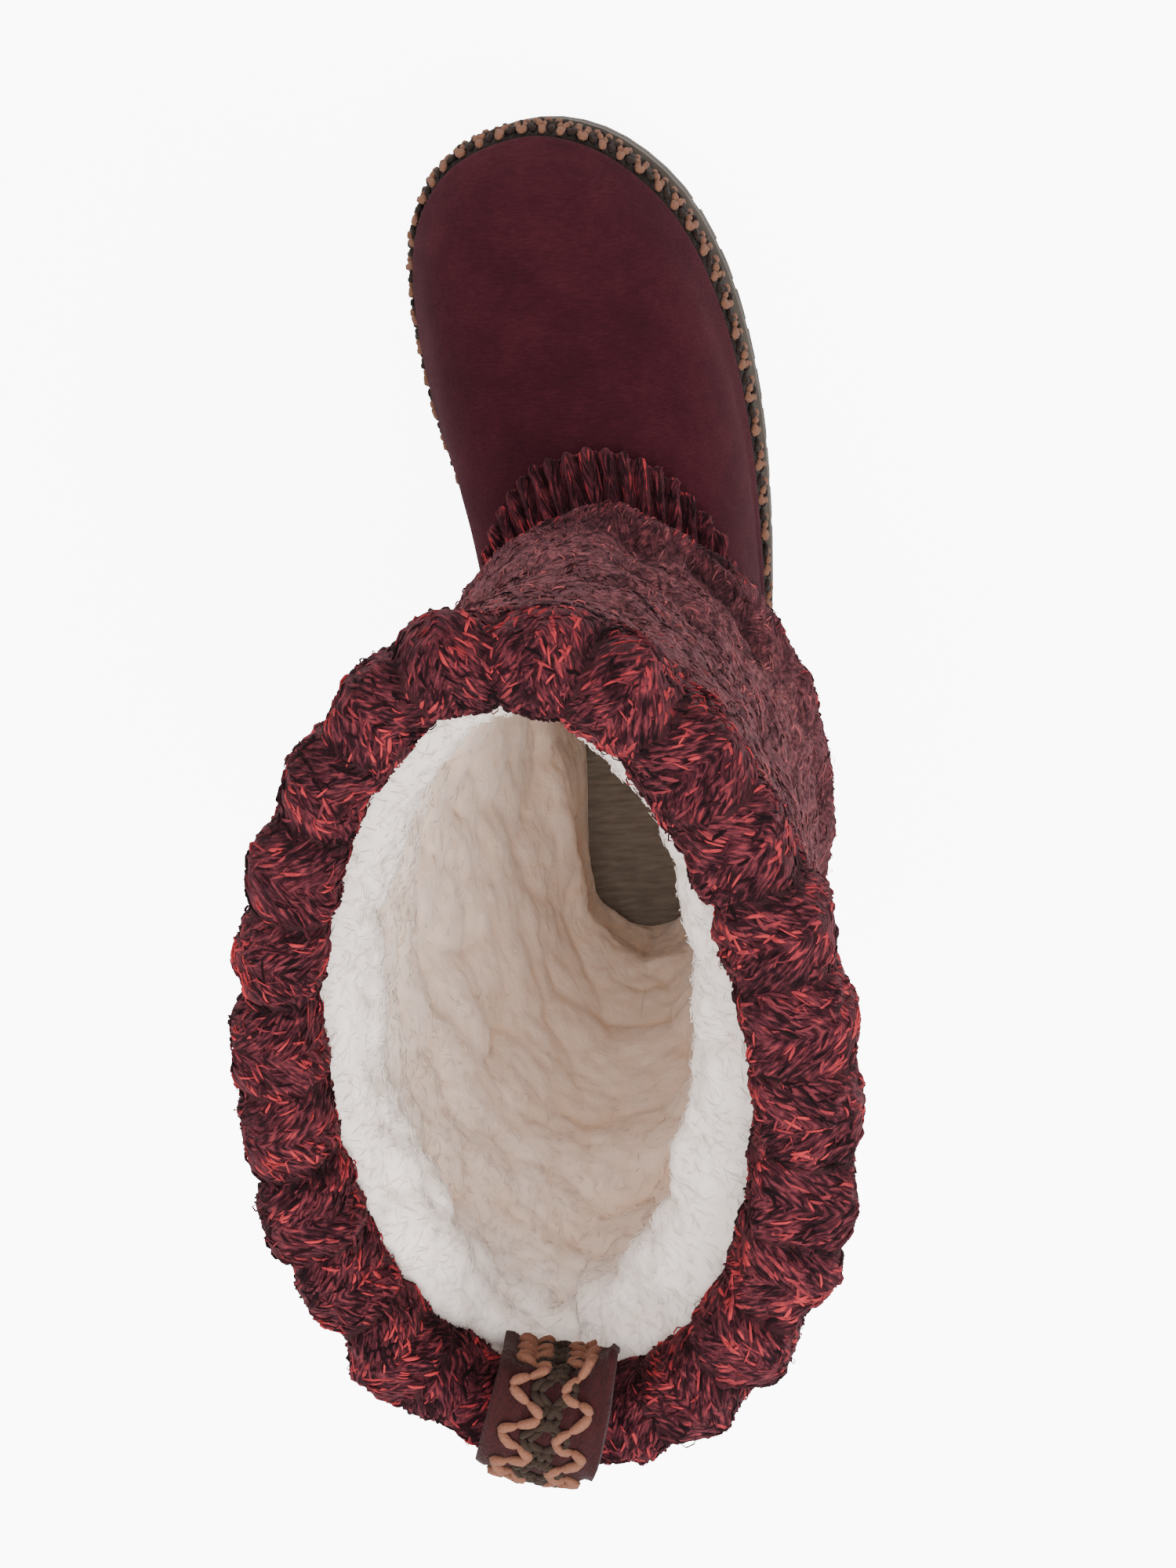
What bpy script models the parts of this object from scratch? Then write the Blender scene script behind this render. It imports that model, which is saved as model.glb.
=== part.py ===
"""Right pull-on boot: suede foot, ribbon trim, slack cable-knit shaft with a rolled rim, fleece lining.

Frame: metres, +Y to the toe, +X to the outer side of the foot, +Z up. The origin is the middle
of the heel's flat spot, on the floor. A ring runs from the heel round the outer side to the toe
and back round the inner side. Every ring of the foot and shaft has RING_POINTS points, so that
pieces which lie on each other keep one clearance all round.
"""

import math
from collections import namedtuple

import bmesh
import bpy
import numpy as np

# Sole
SOLE_LENGTH = 0.272
BALL_WIDTH = 0.104
HEEL_SEAT = 0.036
HEEL_HEIGHT = 0.021
BALL_HEIGHT = 0.0135
TOE_SPRING = 0.010
ARCH_RELIEF = 0.0035
EDGE_RELIEF = 0.0012
TREAD_BEVEL = 0.0018
BEAD_HEIGHT = 0.0042
BEAD_GROOVE = 0.0012
LUG_PITCH = 0.0125
LUG_GAP = 0.0034
LUG_DEPTH = 0.0030
FLUTE_DEPTH = 0.0016
WELT = 0.0024

# Foot
THROAT_FRONT = 0.120
THROAT_BACK = 0.0315
THROAT_HEIGHT = 0.068
THROAT_RISE = 0.014
THROAT_WIDTH = 0.082
THROAT_SHIFT = 0.0025
SUEDE = 0.0020
SUEDE_LIP = 0.0009
TRIM_HEIGHT = 0.0185
TRIM = 0.0018
INSOLE = 0.0040
HEEL_CURVE = 0.0030

# Shaft
BOOT_HEIGHT = 0.275
COLLAR_LENGTH = 0.2075
COLLAR_WIDTH = 0.139
KNIT = 0.0045
FOLD_DEPTH = 0.010
RIM_KNIT = 0.0062
RIM_LEAN = 0.0035
RIM_TURN_IN = 0.026
COLLAR_EGG = 0.055
CABLE_COUNT = 24
CABLE_RELIEF = 0.0026
FLEECE_FOOT = 0.0080
FLEECE_SHAFT = 0.0095
FLEECE_TUFT = 0.0012

# Pull loop
LOOP_WIDTH = 0.026
LOOP_RIBBON = 0.0020
LOOP_ARCH = 0.0105
LOOP_INNER_LEG = 0.026
LOOP_OUTER_LEG = 0.040
LOOP_SHIFT = -0.0064
LOOP_SKEW = 0.0053
LOOP_DENT = 0.0048
LOOP_DENT_SPREAD = 0.011

CLEARANCE = 0.0003
RING_POINTS = 72
MERIDIAN_STEPS = 80

Station = namedtuple("Station", "along medial lateral")
Handle = namedtuple("Handle", "turn lean rise reach drop curve")
Level = namedtuple("Level", "height length width forward aside loose")
Fold = namedtuple("Fold", "height turn tall wide depth")
Step = namedtuple("Step", "across lift")

# Outline of the sole: along in shares of its length from the heel, sides in shares of ball width.
SOLE_OUTLINE = (
    Station(0.000, 0.000, 0.000),
    Station(0.030, -0.215, 0.215),
    Station(0.090, -0.328, 0.330),
    Station(0.180, -0.364, 0.375),
    Station(0.300, -0.356, 0.408),
    Station(0.420, -0.362, 0.445),
    Station(0.550, -0.418, 0.462),
    Station(0.680, -0.507, 0.452),
    Station(0.800, -0.540, 0.398),
    Station(0.900, -0.508, 0.292),
    Station(0.965, -0.395, 0.138),
    Station(1.000, -0.120, -0.120),
)

# Where the tread is off the floor, in shares of the sole's length.
HEEL_EDGE_END = 0.05
ARCH_START = 0.29
ARCH_END = 0.50
SPRING_START = 0.735
HEEL_STEP_START = 0.28
HEEL_STEP_END = 0.68
LUGS_START = 0.06
LUGS_END = 0.93

# Curves from the sole's edge up to the throat. The turn goes from 0 at the heel to 1 at the toe.
FOOT_HANDLES = (
    Handle(0.00, 0.00, 0.36, 0.20, 0.34, 1.00),
    Handle(0.38, 0.05, 0.40, 0.40, 0.36, 0.40),
    Handle(0.65, 0.09, 0.54, 0.50, 0.26, -0.50),
    Handle(0.85, 0.07, 0.78, 0.46, 0.32, -0.40),
    Handle(1.00, 0.05, 0.86, 0.46, 0.33, 0.00),
)
# How much less the outer side's curves lean out than the inner side's, in the unit of lean.
OUTER_UPRIGHT = 0.12
# How far the foot's curves swing forward on their way up, as an angle.
FOOT_SWING = math.radians(22)
# Rings of the foot above the ribbon, in shares of the curves' length there.
BAND_EDGE = 0.79
FOOT_RINGS = (0.12, 0.28, 0.50, BAND_EDGE, 1.00)

# The shaft's lining: height in shares from throat to rim, the rest in shares of the collar.
# The last column is how far the knit stands off the lining, in shares of FOLD_DEPTH.
CREASE = Level(0.030, 0.735, 0.630, 0.205, 0.014, 0.00)
TUCK = Level(0.058, 0.735, 0.636, 0.205, 0.013, 0.72)
SLOUCH = Level(0.112, 0.735, 0.648, 0.205, 0.012, 0.95)
ANKLE = Level(0.195, 0.745, 0.674, 0.206, 0.006, 0.50)
CALF = Level(0.300, 0.762, 0.712, 0.207, 0.000, 0.08)
MIDDLE = Level(0.500, 0.800, 0.760, 0.213, -0.006, 0.00)
UPPER = Level(0.700, 0.850, 0.812, 0.219, -0.010, 0.00)
NECK = Level(0.830, 0.880, 0.838, 0.222, -0.010, 0.00)
ROLL = Level(0.915, 0.938, 0.908, 0.222, -0.010, 0.00)
RIM = Level(1.000, 0.938, 0.908, 0.222, -0.010, 0.00)

# Soft folds of the slack knit: height as above, turn from 0 at the heel to 1 at the heel again.
KNIT_FOLDS = (
    Fold(0.10, 0.47, 0.05, 0.090, 0.30),
    Fold(0.19, 0.42, 0.04, 0.050, -0.30),
    Fold(0.12, 0.27, 0.05, 0.070, 0.30),
    Fold(0.22, 0.62, 0.06, 0.080, 0.25),
    Fold(0.30, 0.48, 0.05, 0.070, 0.30),
    Fold(0.28, 0.02, 0.06, 0.080, 0.35),
    Fold(0.45, 0.80, 0.07, 0.080, 0.25),
)

# The pull loop, from its end inside the boot, over the rim, to its end outside the knit.
# Across goes from 0 inside to 1 outside, lift is in shares of the legs below the rim or the arch.
LOOP_STEPS = (
    Step(0.00, -1.00),
    Step(-0.22, -0.62),
    Step(-0.60, -0.10),
    Step(-0.68, 0.45),
    Step(-0.28, 0.95),
    Step(0.22, 0.92),
    Step(0.62, 0.62),
    Step(0.94, 0.02),
    Step(1.00, -0.36),
    Step(1.00, -1.00),
)


def smooth_curve(knots, values, at, period=None):
    """Values between the knots, on a smooth curve through them. The last axis is the knots'."""
    knots = np.asarray(knots, float)
    values = np.asarray(values, float)
    if period:
        knots = np.concatenate([knots[-2:] - period, knots, knots[:3] + period])
        values = np.concatenate([values[-2:], values, values[:3]])
    gaps = np.diff(knots)
    slopes = np.diff(values) / gaps
    inner = (slopes[:-1] * gaps[1:] + slopes[1:] * gaps[:-1]) / (gaps[:-1] + gaps[1:])
    tangents = np.concatenate([slopes[:1], inner, slopes[-1:]])
    span = np.clip(np.searchsorted(knots, at, side="right") - 1, 0, len(gaps) - 1)
    step = gaps[span]
    share = (at - knots[span]) / step
    rest = 1 - share
    start = values[span] * (1 + 2 * share) * rest**2 + tangents[span] * step * share * rest**2
    end = values[span + 1] * (3 - 2 * share) * share**2 - tangents[span + 1] * step * rest * share**2
    return start + end


def ease(share):
    """0 below 0, 1 above 1 and a soft step between them."""
    share = np.clip(share, 0.0, 1.0)
    return share * share * (3 - 2 * share)


def turns(count):
    """Angles of a ring's points, from the heel round the outer side."""
    return 2 * math.pi * np.arange(count) / count


def outward(ring):
    """Level unit vectors that point out of a closed ring."""
    along = np.roll(ring, -1, axis=0) - np.roll(ring, 1, axis=0)
    normal = np.stack([along[:, 1], -along[:, 0], np.zeros(len(ring))], axis=1)
    return normal / np.linalg.norm(normal, axis=1, keepdims=True)


def sole_outline(angles):
    """Plan of the sole's edge, at height 0."""
    first = np.arccos(1 - 2 * np.array([row.along for row in SOLE_OUTLINE]))
    knots = np.concatenate([first, 2 * math.pi - first[-2:0:-1]])
    lateral = [row.lateral for row in SOLE_OUTLINE]
    medial = [row.medial for row in SOLE_OUTLINE[-2:0:-1]]
    across = smooth_curve(knots, lateral + medial, angles, 2 * math.pi) * BALL_WIDTH
    along = SOLE_LENGTH * (1 - np.cos(angles)) / 2 - HEEL_SEAT
    return np.stack([across, along, np.zeros(len(angles))], axis=1)


def tread(y):
    """Height of the tread's underside over the floor."""
    share = (y + HEEL_SEAT) / SOLE_LENGTH
    heel = EDGE_RELIEF * np.clip(1 - share / HEEL_EDGE_END, 0, 1) ** 2
    within = np.clip((share - ARCH_START) / (ARCH_END - ARCH_START), 0, 1)
    arch = ARCH_RELIEF * np.sin(math.pi * within) ** 2
    spring = TOE_SPRING * np.clip((share - SPRING_START) / (1 - SPRING_START), 0, 1) ** 1.8
    return heel + arch + spring


def footbed(y):
    """Height of the sole's top."""
    share = (y + HEEL_SEAT) / SOLE_LENGTH
    step = ease((share - HEEL_STEP_START) / (HEEL_STEP_END - HEEL_STEP_START))
    spring = TOE_SPRING * np.clip((share - SPRING_START) / (1 - SPRING_START), 0, 1) ** 1.8
    return HEEL_HEIGHT + (BALL_HEIGHT - HEEL_HEIGHT) * step + spring


def seated(ring, lift):
    """The ring with its height set to a lift over the footbed."""
    lowered = ring.copy()
    lowered[:, 2] = footbed(ring[:, 1]) + lift
    return lowered


def between(first, second, share):
    """A ring on the straight lines from one ring to another."""
    return first + (second - first) * share


def throat_ring(angles):
    """The suede's upper edge, round the ankle and over the instep."""
    swung = angles + FOOT_SWING * np.sin(angles)
    half = (THROAT_FRONT + THROAT_BACK) / 2
    y = THROAT_FRONT - half - half * np.cos(swung)
    x = THROAT_SHIFT + THROAT_WIDTH / 2 * np.sign(np.sin(swung)) * np.abs(np.sin(swung)) ** 0.9
    z = THROAT_HEIGHT + THROAT_RISE * ((1 - np.cos(swung)) / 2) ** 2.2
    return np.stack([x, y, z], axis=1)


def handle(column, angles):
    """One column of FOOT_HANDLES for each angle, the same on both sides."""
    share = 1 - np.abs(1 - angles / math.pi)
    knots = [row.turn for row in FOOT_HANDLES]
    return smooth_curve(knots, [getattr(row, column) for row in FOOT_HANDLES], share)[:, None]


class Foot:
    """The foot's outer form: one curve for each point of a ring, from the sole up to the throat."""

    def __init__(self):
        angles = turns(RING_POINTS)
        edge = sole_outline(angles)
        out = outward(edge)
        low = seated(edge - out * WELT, CLEARANCE)
        high = throat_ring(angles)
        tall = np.zeros_like(low)
        tall[:, 2] = high[:, 2] - low[:, 2]
        apart = (low - high) * (1, 1, 0)
        bulge = out * HEEL_CURVE * handle("curve", angles)
        lean = handle("lean", angles) - OUTER_UPRIGHT * np.clip(np.sin(angles), 0, None)[:, None]
        low_handle = low + tall * handle("rise", angles) + apart * lean + bulge
        high_handle = high - tall * handle("drop", angles) + apart * handle("reach", angles) + bulge
        share = np.linspace(0, 1, MERIDIAN_STEPS)[None, :, None]
        rest = 1 - share
        self.curves = (
            low[:, None] * rest**3
            + 3 * low_handle[:, None] * rest**2 * share
            + 3 * high_handle[:, None] * rest * share**2
            + high[:, None] * share**3
        )
        steps = np.linalg.norm(np.diff(self.curves, axis=1), axis=2)
        self.lengths = np.concatenate([np.zeros((RING_POINTS, 1)), np.cumsum(steps, axis=1)], axis=1)

    def points(self, height):
        """Points that lie a length up each curve."""
        columns = [
            [np.interp(height[k], self.lengths[k], self.curves[k, :, axis]) for axis in range(3)]
            for k in range(RING_POINTS)
        ]
        return np.array(columns)

    def ring(self, height, offset):
        """A ring at a length up each curve, moved out along the surface's normal."""
        height = np.broadcast_to(height, RING_POINTS)
        here = self.points(height)
        up = self.points(height + 0.001) - self.points(height - 0.001)
        along = np.roll(here, -1, axis=0) - np.roll(here, 1, axis=0)
        normal = np.cross(along, up)
        return here + offset * normal / np.linalg.norm(normal, axis=1, keepdims=True)

    def above_trim(self, share, offset):
        """A ring between the ribbon, share 0, and the throat, share 1."""
        start = TRIM_HEIGHT + 2 * CLEARANCE
        length = start + (self.lengths[:, -1] - start) * share
        return self.ring(length, offset)


def level_angles(level, angles):
    """Angles that go from the foot's spacing at the throat to even spacing at the collar."""
    dense = np.linspace(0, 2 * math.pi, 721)
    x = COLLAR_WIDTH * np.sin(dense)
    y = COLLAR_LENGTH * np.cos(dense)
    length = np.concatenate([[0], np.cumsum(np.hypot(np.diff(x), np.diff(y)))])
    even = np.interp(angles / (2 * math.pi) * length[-1], length, dense)
    swung = angles + FOOT_SWING * np.sin(angles)
    share = ease(level.height / UPPER.height)
    return swung + (even - swung) * share


def shaft_ring(level, offset=0.0, rise=0.0):
    """A level ring of the shaft's lining line, moved outward by an offset or one for each point."""
    angles = level_angles(level, turns(RING_POINTS))
    broad = 1 + COLLAR_EGG * ease(level.height) * np.cos(angles)
    x = COLLAR_WIDTH * (level.aside + level.width / 2 * np.sin(angles) * broad)
    y = COLLAR_LENGTH * (level.forward - level.length / 2 * np.cos(angles))
    front = ((1 - np.cos(angles)) / 2) ** 2.2
    low = THROAT_HEIGHT + THROAT_RISE * front
    z = low + (BOOT_HEIGHT - low) * level.height + rise
    ring = np.stack([x, y, z], axis=1)
    offset = np.broadcast_to(offset, RING_POINTS)[:, None]
    return ring + outward(ring) * offset


def looseness(level):
    """How far the knit stands off the lining at each point of a level."""
    turn = np.arange(RING_POINTS) / RING_POINTS
    loose = np.full(RING_POINTS, level.loose)
    for fold in KNIT_FOLDS:
        aside = np.abs((turn - fold.turn + 0.5) % 1 - 0.5) / fold.wide
        above = (level.height - fold.height) / fold.tall
        loose = loose + fold.depth * np.exp(-(aside**2) - above**2)
    return FOLD_DEPTH * np.clip(loose, 0, None)


def cable_relief(share):
    """The rim's cable columns: a dip between two columns and a round back on each."""
    phase = np.arange(RING_POINTS) * CABLE_COUNT / RING_POINTS
    back = np.abs(np.sin(math.pi * phase)) ** 0.7
    return CABLE_RELIEF * share * (back - 1)


def pressed():
    """1 where the pull loop presses the back of the rim in, 0 elsewhere."""
    aside = np.abs(shaft_ring(ROLL)[:, 0] - LOOP_SHIFT + LOOP_SKEW)
    behind = np.cos(turns(RING_POINTS)) > 0
    return behind * ease(1 - (aside - LOOP_WIDTH / 2) / LOOP_DENT_SPREAD)


def rim_relief(share):
    """The cable columns at the rim, flattened and pressed in under the pull loop."""
    return cable_relief(share) * (1 - pressed()) - LOOP_DENT * pressed()


def fleece_locks():
    """The small tufts along the fleece's edge."""
    turn = np.arange(RING_POINTS)
    return FLEECE_TUFT * (np.sin(0.9 * turn) + np.sin(1.7 * turn + 1.0)) / 2


def material(name, colour, roughness, metallic=0.0):
    """A plain finish."""
    finish = bpy.data.materials.new(name)
    finish.use_nodes = True
    shader = finish.node_tree.nodes["Principled BSDF"]
    shader.inputs["Base Color"].default_value = (*colour, 1.0)
    shader.inputs["Roughness"].default_value = roughness
    shader.inputs["Metallic"].default_value = metallic
    finish.diffuse_color = (*colour, 1.0)
    return finish


def loft(rings, closed=True):
    """A bmesh through rings. Closed joins the last ring to the first, else flat strips cap both."""
    mesh = bmesh.new()
    rows = [[mesh.verts.new(point) for point in ring] for ring in rings]
    count = len(rows[0])
    pairs = list(zip(rows, rows[1:]))
    if closed:
        pairs.append((rows[-1], rows[0]))
    for first, second in pairs:
        # The same diagonal on both faces of a wall, so that pieces in contact keep their clearance.
        climbs = sum(vert.co.z for vert in second) > sum(vert.co.z for vert in first)
        for k in range(count):
            after = (k + 1) % count
            if climbs:
                mesh.faces.new((first[k], first[after], second[after]))
                mesh.faces.new((first[k], second[after], second[k]))
            else:
                mesh.faces.new((first[k], first[after], second[k]))
                mesh.faces.new((first[after], second[after], second[k]))
    if not closed:
        cap(mesh, rows[0][::-1])
        cap(mesh, rows[-1])
    bmesh.ops.recalc_face_normals(mesh, faces=mesh.faces)
    bmesh.ops.triangulate(mesh, faces=mesh.faces)
    return mesh


def cap(mesh, row):
    """Closes a ring with strips across it, each from one side to the other."""
    count = len(row)
    shift = 0 if count % 2 == 0 and row[0].co.y < row[1].co.y else -1
    for k in range(count // 2):
        corners = [row[(shift + k) % count], row[(shift + k + 1) % count]]
        corners += [row[(shift - k - 1) % count], row[(shift - k) % count]]
        distinct = list(dict.fromkeys(corners))
        mesh.faces.new(distinct)


def solid(name, mesh, finish, home):
    """A named object from a bmesh, with its finish, shaded smooth."""
    data = bpy.data.meshes.new(name)
    mesh.to_mesh(data)
    mesh.free()
    part = bpy.data.objects.new(name, data)
    home.objects.link(part)
    if finish:
        data.materials.append(finish)
        data.shade_smooth()
        data.set_sharp_from_angle(angle=math.radians(40))
    return part


def sole_rings(insets):
    """Rings of the sole from (inset, height function) rows."""
    edge = sole_outline(turns(RING_POINTS))
    out = outward(edge)
    rings = []
    for inset, height in insets:
        ring = edge - out * inset
        ring[:, 2] = height(edge[:, 1])
        rings.append(ring)
    return rings


def outsole(home, cutters):
    """Moulded sole: bevelled tread, lugs that run up the side as flutes, and a bead on top."""
    body = sole_rings(
        (
            (TREAD_BEVEL, tread),
            (0.0, lambda y: tread(y) + TREAD_BEVEL),
            (0.0, lambda y: footbed(y) - BEAD_HEIGHT - BEAD_GROOVE),
            (BEAD_GROOVE, lambda y: footbed(y) - BEAD_HEIGHT),
            (0.0, lambda y: footbed(y) - BEAD_HEIGHT + BEAD_GROOVE),
            (BEAD_GROOVE / 4, footbed),
        )
    )
    part = solid("outsole", loft(body, closed=False), material("moulded_rubber", (0.106, 0.088, 0.072), 0.7), home)
    core = sole_rings(
        (
            (FLUTE_DEPTH + TREAD_BEVEL, lambda y: tread(y) + LUG_DEPTH),
            (FLUTE_DEPTH, lambda y: tread(y) + LUG_DEPTH + TREAD_BEVEL),
            (FLUTE_DEPTH, lambda y: footbed(y) + LUG_DEPTH),
        )
    )
    core_part = solid("sole_core", loft(core, closed=False), None, cutters)
    grooves = bmesh.new()
    first = math.ceil((LUGS_START * SOLE_LENGTH - HEEL_SEAT) / LUG_PITCH - 0.5)
    last = math.floor((LUGS_END * SOLE_LENGTH - HEEL_SEAT) / LUG_PITCH - 0.5)
    for index in range(first, last + 1):
        y = (index + 0.5) * LUG_PITCH
        if ARCH_START < (y + HEEL_SEAT) / SOLE_LENGTH < ARCH_END:
            continue
        top = footbed(y) - BEAD_HEIGHT - 2 * BEAD_GROOVE
        box = bmesh.ops.create_cube(grooves, size=1.0)["verts"]
        bmesh.ops.scale(grooves, verts=box, vec=(2 * BALL_WIDTH, LUG_GAP, top + LUG_DEPTH))
        bmesh.ops.translate(grooves, verts=box, vec=(0, y, (top - LUG_DEPTH) / 2))
    groove_part = solid("sole_grooves", grooves, None, cutters)
    cut(groove_part, core_part)
    cut(part, groove_part)
    return part


def cut(part, cutter):
    """Takes the cutter out of a part, and hides the cutter."""
    modifier = part.modifiers.new(cutter.name, "BOOLEAN")
    modifier.operation = "DIFFERENCE"
    modifier.object = cutter
    cutter.hide_render = True
    cutter.display_type = "WIRE"


def insole(foot, home):
    """Flat sock on the footbed, inside the suede."""
    inside = -(TRIM + SUEDE + 2.5 * CLEARANCE)
    low = TRIM_HEIGHT + 2 * CLEARANCE
    wall = seated(foot.ring(0.0, inside), CLEARANCE), foot.ring(low, inside)
    top = INSOLE + CLEARANCE
    rings = [wall[0], seated(between(*wall, top / low), top)]
    finish = material("grey_sock_cloth", (0.090, 0.075, 0.058), 0.9)
    return solid("insole", loft(rings, closed=False), finish, home)


def foot_upper(foot, home):
    """Suede shell with a recess for the ribbon and an opening for the ankle."""
    recess = -(TRIM + CLEARANCE)
    low = TRIM_HEIGHT + 2 * CLEARANCE
    outer = [
        seated(foot.ring(0.0, recess), CLEARANCE),
        foot.ring(low, recess),
        foot.ring(low, 0.0),
        foot.ring(low + SUEDE, SUEDE_LIP),
    ]
    outer += [foot.above_trim(share, 0.0) for share in FOOT_RINGS]
    inner = [foot.above_trim(share, -SUEDE) for share in reversed(FOOT_RINGS)]
    inner += [foot.ring(low, recess - SUEDE)]
    inner += [seated(foot.ring(0.0, recess - SUEDE), CLEARANCE)]
    finish = material("burgundy_suede", (0.070, 0.012, 0.021), 0.92)
    return solid("foot_upper", loft(outer + inner), finish, home)


def ribbon_trim(foot, home):
    """Woven ribbon in the suede's recess, all round just above the sole."""
    rings = [
        seated(foot.ring(0.0, 0.0), CLEARANCE),
        foot.ring(TRIM_HEIGHT / 2, TRIM / 4),
        foot.ring(TRIM_HEIGHT, -TRIM / 4),
        foot.ring(TRIM_HEIGHT, -TRIM),
        seated(foot.ring(0.0, -TRIM), CLEARANCE),
    ]
    finish = material("woven_ribbon", (0.120, 0.060, 0.042), 0.85)
    return solid("ribbon_trim", loft(rings), finish, home)


def knit_shaft(foot, home):
    """Knitted tube: ribbed band on the suede, slack folds over it, and a rim rolled in on the fleece."""
    edge = foot.above_trim(BAND_EDGE, CLEARANCE)
    rings = [
        edge,
        foot.above_trim(BAND_EDGE - 0.01, KNIT * 0.75),
        foot.above_trim(BAND_EDGE + 0.06, KNIT + CLEARANCE),
        foot.above_trim(0.985, KNIT + CLEARANCE),
    ]
    body = (CREASE, TUCK, SLOUCH, ANKLE, CALF, MIDDLE)
    wall = KNIT + CLEARANCE
    rings += [shaft_ring(level, wall + looseness(level)) for level in body]
    thick = RIM_KNIT + CLEARANCE
    inner_face = -(FLEECE_SHAFT + CLEARANCE)
    middle = (thick + inner_face) / 2
    lean = RIM_LEAN * np.clip(np.sin(turns(RING_POINTS)), 0, None)
    turned_in = inner_face - KNIT - lean
    rings += [
        shaft_ring(NECK, thick + rim_relief(0.7)),
        shaft_ring(ROLL, thick + rim_relief(1.0)),
        shaft_ring(RIM, thick * 0.55 + rim_relief(0.9), -RIM_KNIT / 2),
        shaft_ring(RIM, middle + cable_relief(0.4)),
        shaft_ring(RIM, turned_in + KNIT / 3, -RIM_KNIT / 2),
        shaft_ring(RIM, turned_in, -RIM_TURN_IN * 0.7),
        shaft_ring(RIM, inner_face, -RIM_TURN_IN),
        shaft_ring(RIM, inner_face, -RIM_KNIT * 2),
        shaft_ring(RIM, middle, -RIM_KNIT),
        shaft_ring(RIM, CLEARANCE, -RIM_KNIT * 2),
    ]
    inside = (ROLL, NECK, CALF, SLOUCH, CREASE)
    rings += [shaft_ring(level, CLEARANCE + looseness(level)) for level in inside]
    rings += [foot.above_trim(1.0, CLEARANCE)]
    finish = material("marled_knit", (0.150, 0.028, 0.040), 0.95)
    return solid("knit_shaft", loft(rings), finish, home)


def fleece_lining(foot, home):
    """Deep pile from the collar down to the insole."""
    low = TRIM_HEIGHT + 2 * CLEARANCE
    backed = SUEDE + CLEARANCE
    bottom = INSOLE + 2 * CLEARANCE
    recess = -(TRIM + backed + CLEARANCE)
    wall = seated(foot.ring(0.0, recess), CLEARANCE), foot.ring(low, recess)
    outer = [seated(between(*wall, bottom / low), bottom), wall[1]]
    outer += [foot.above_trim(share, -backed) for share in FOOT_RINGS]
    outer += [shaft_ring(level) for level in (CREASE, CALF, NECK, ROLL)]
    under_rim = -RIM_TURN_IN - CLEARANCE
    top = [
        shaft_ring(RIM, -FLEECE_SHAFT * 0.5, -RIM_KNIT * 2),
        shaft_ring(RIM, -FLEECE_SHAFT, under_rim - CLEARANCE),
        shaft_ring(RIM, -FLEECE_SHAFT - KNIT + fleece_locks(), under_rim - FLEECE_SHAFT / 2),
    ]
    inner = [shaft_ring(level, -FLEECE_SHAFT) for level in (UPPER, CREASE)]
    pile = backed + FLEECE_FOOT
    inner += [foot.above_trim(share, -pile) for share in FOOT_RINGS[::-2]]
    inner += [seated(foot.ring(bottom, -(TRIM + pile)), bottom)]
    finish = material("sherpa_fleece", (0.800, 0.740, 0.690), 1.0)
    return solid("fleece_lining", loft(outer + top + inner), finish, home)


def pull_loop(home):
    """Ribbon strap that bends over the back of the rim, sewn on inside and outside."""
    knots = np.arange(len(LOOP_STEPS), dtype=float)
    at = np.linspace(0, len(LOOP_STEPS) - 1, 2 * len(LOOP_STEPS) + 1)
    across = smooth_curve(knots, [step.across for step in LOOP_STEPS], at)
    lift = smooth_curve(knots, [step.lift for step in LOOP_STEPS], at)
    legs = np.where(across < 0.5, LOOP_INNER_LEG, LOOP_OUTER_LEG)
    height = BOOT_HEIGHT + np.where(lift > 0, LOOP_ARCH * lift, legs * lift)
    half = LOOP_RIBBON / 2 + 2 * CLEARANCE
    inside = shaft_ring(ROLL, -FLEECE_SHAFT - KNIT - CLEARANCE - half)
    outside = shaft_ring(ROLL, RIM_KNIT + CLEARANCE + half - LOOP_DENT * pressed())
    mesh = bmesh.new()
    rows = []
    for side in (-0.5, 0.0, 0.5):
        x = side * LOOP_WIDTH + LOOP_SHIFT - LOOP_SKEW * across
        y = back_of(inside, x) * (1 - across) + back_of(outside, x) * across
        rows.append([mesh.verts.new(point) for point in zip(x, y, height)])
    for first, second in zip(rows, rows[1:]):
        for k in range(len(at) - 1):
            mesh.faces.new((first[k], second[k], second[k + 1], first[k + 1]))
    part = solid("pull_loop", mesh, material("loop_ribbon", (0.110, 0.016, 0.022), 0.8), home)
    wall = part.modifiers.new("ribbon", "SOLIDIFY")
    wall.thickness = LOOP_RIBBON
    wall.offset = 0.0
    wall.use_even_offset = True
    return part


def back_of(ring, x):
    """How far back a ring lies at each x, on its heel side."""
    behind = ring[ring[:, 1] < ring[:, 1].mean()]
    order = np.argsort(behind[:, 0])
    return np.interp(x, behind[order, 0], behind[order, 1])


def main():
    for old in list(bpy.data.objects):
        bpy.data.objects.remove(old)
    boot = bpy.data.collections.new("knit_shaft_boot")
    cutters = bpy.data.collections.new("cutters")
    for collection in (boot, cutters):
        bpy.context.scene.collection.children.link(collection)
    foot = Foot()
    outsole(boot, cutters)
    insole(foot, boot)
    foot_upper(foot, boot)
    ribbon_trim(foot, boot)
    knit_shaft(foot, boot)
    fleece_lining(foot, boot)
    pull_loop(boot)


if __name__ == "__main__":
    main()
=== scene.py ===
"""Looks of a right pull-on boot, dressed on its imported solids.

Frame: metres, +Y to the toe, +X to the outer side of the foot, +Z up. A ring of the boot runs from
the heel round the outer side to the toe and back. A turn goes from 0 at the heel to 1 at the heel
again, and a row counts from the lower edge of a surface to its upper or inner edge.
"""

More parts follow.
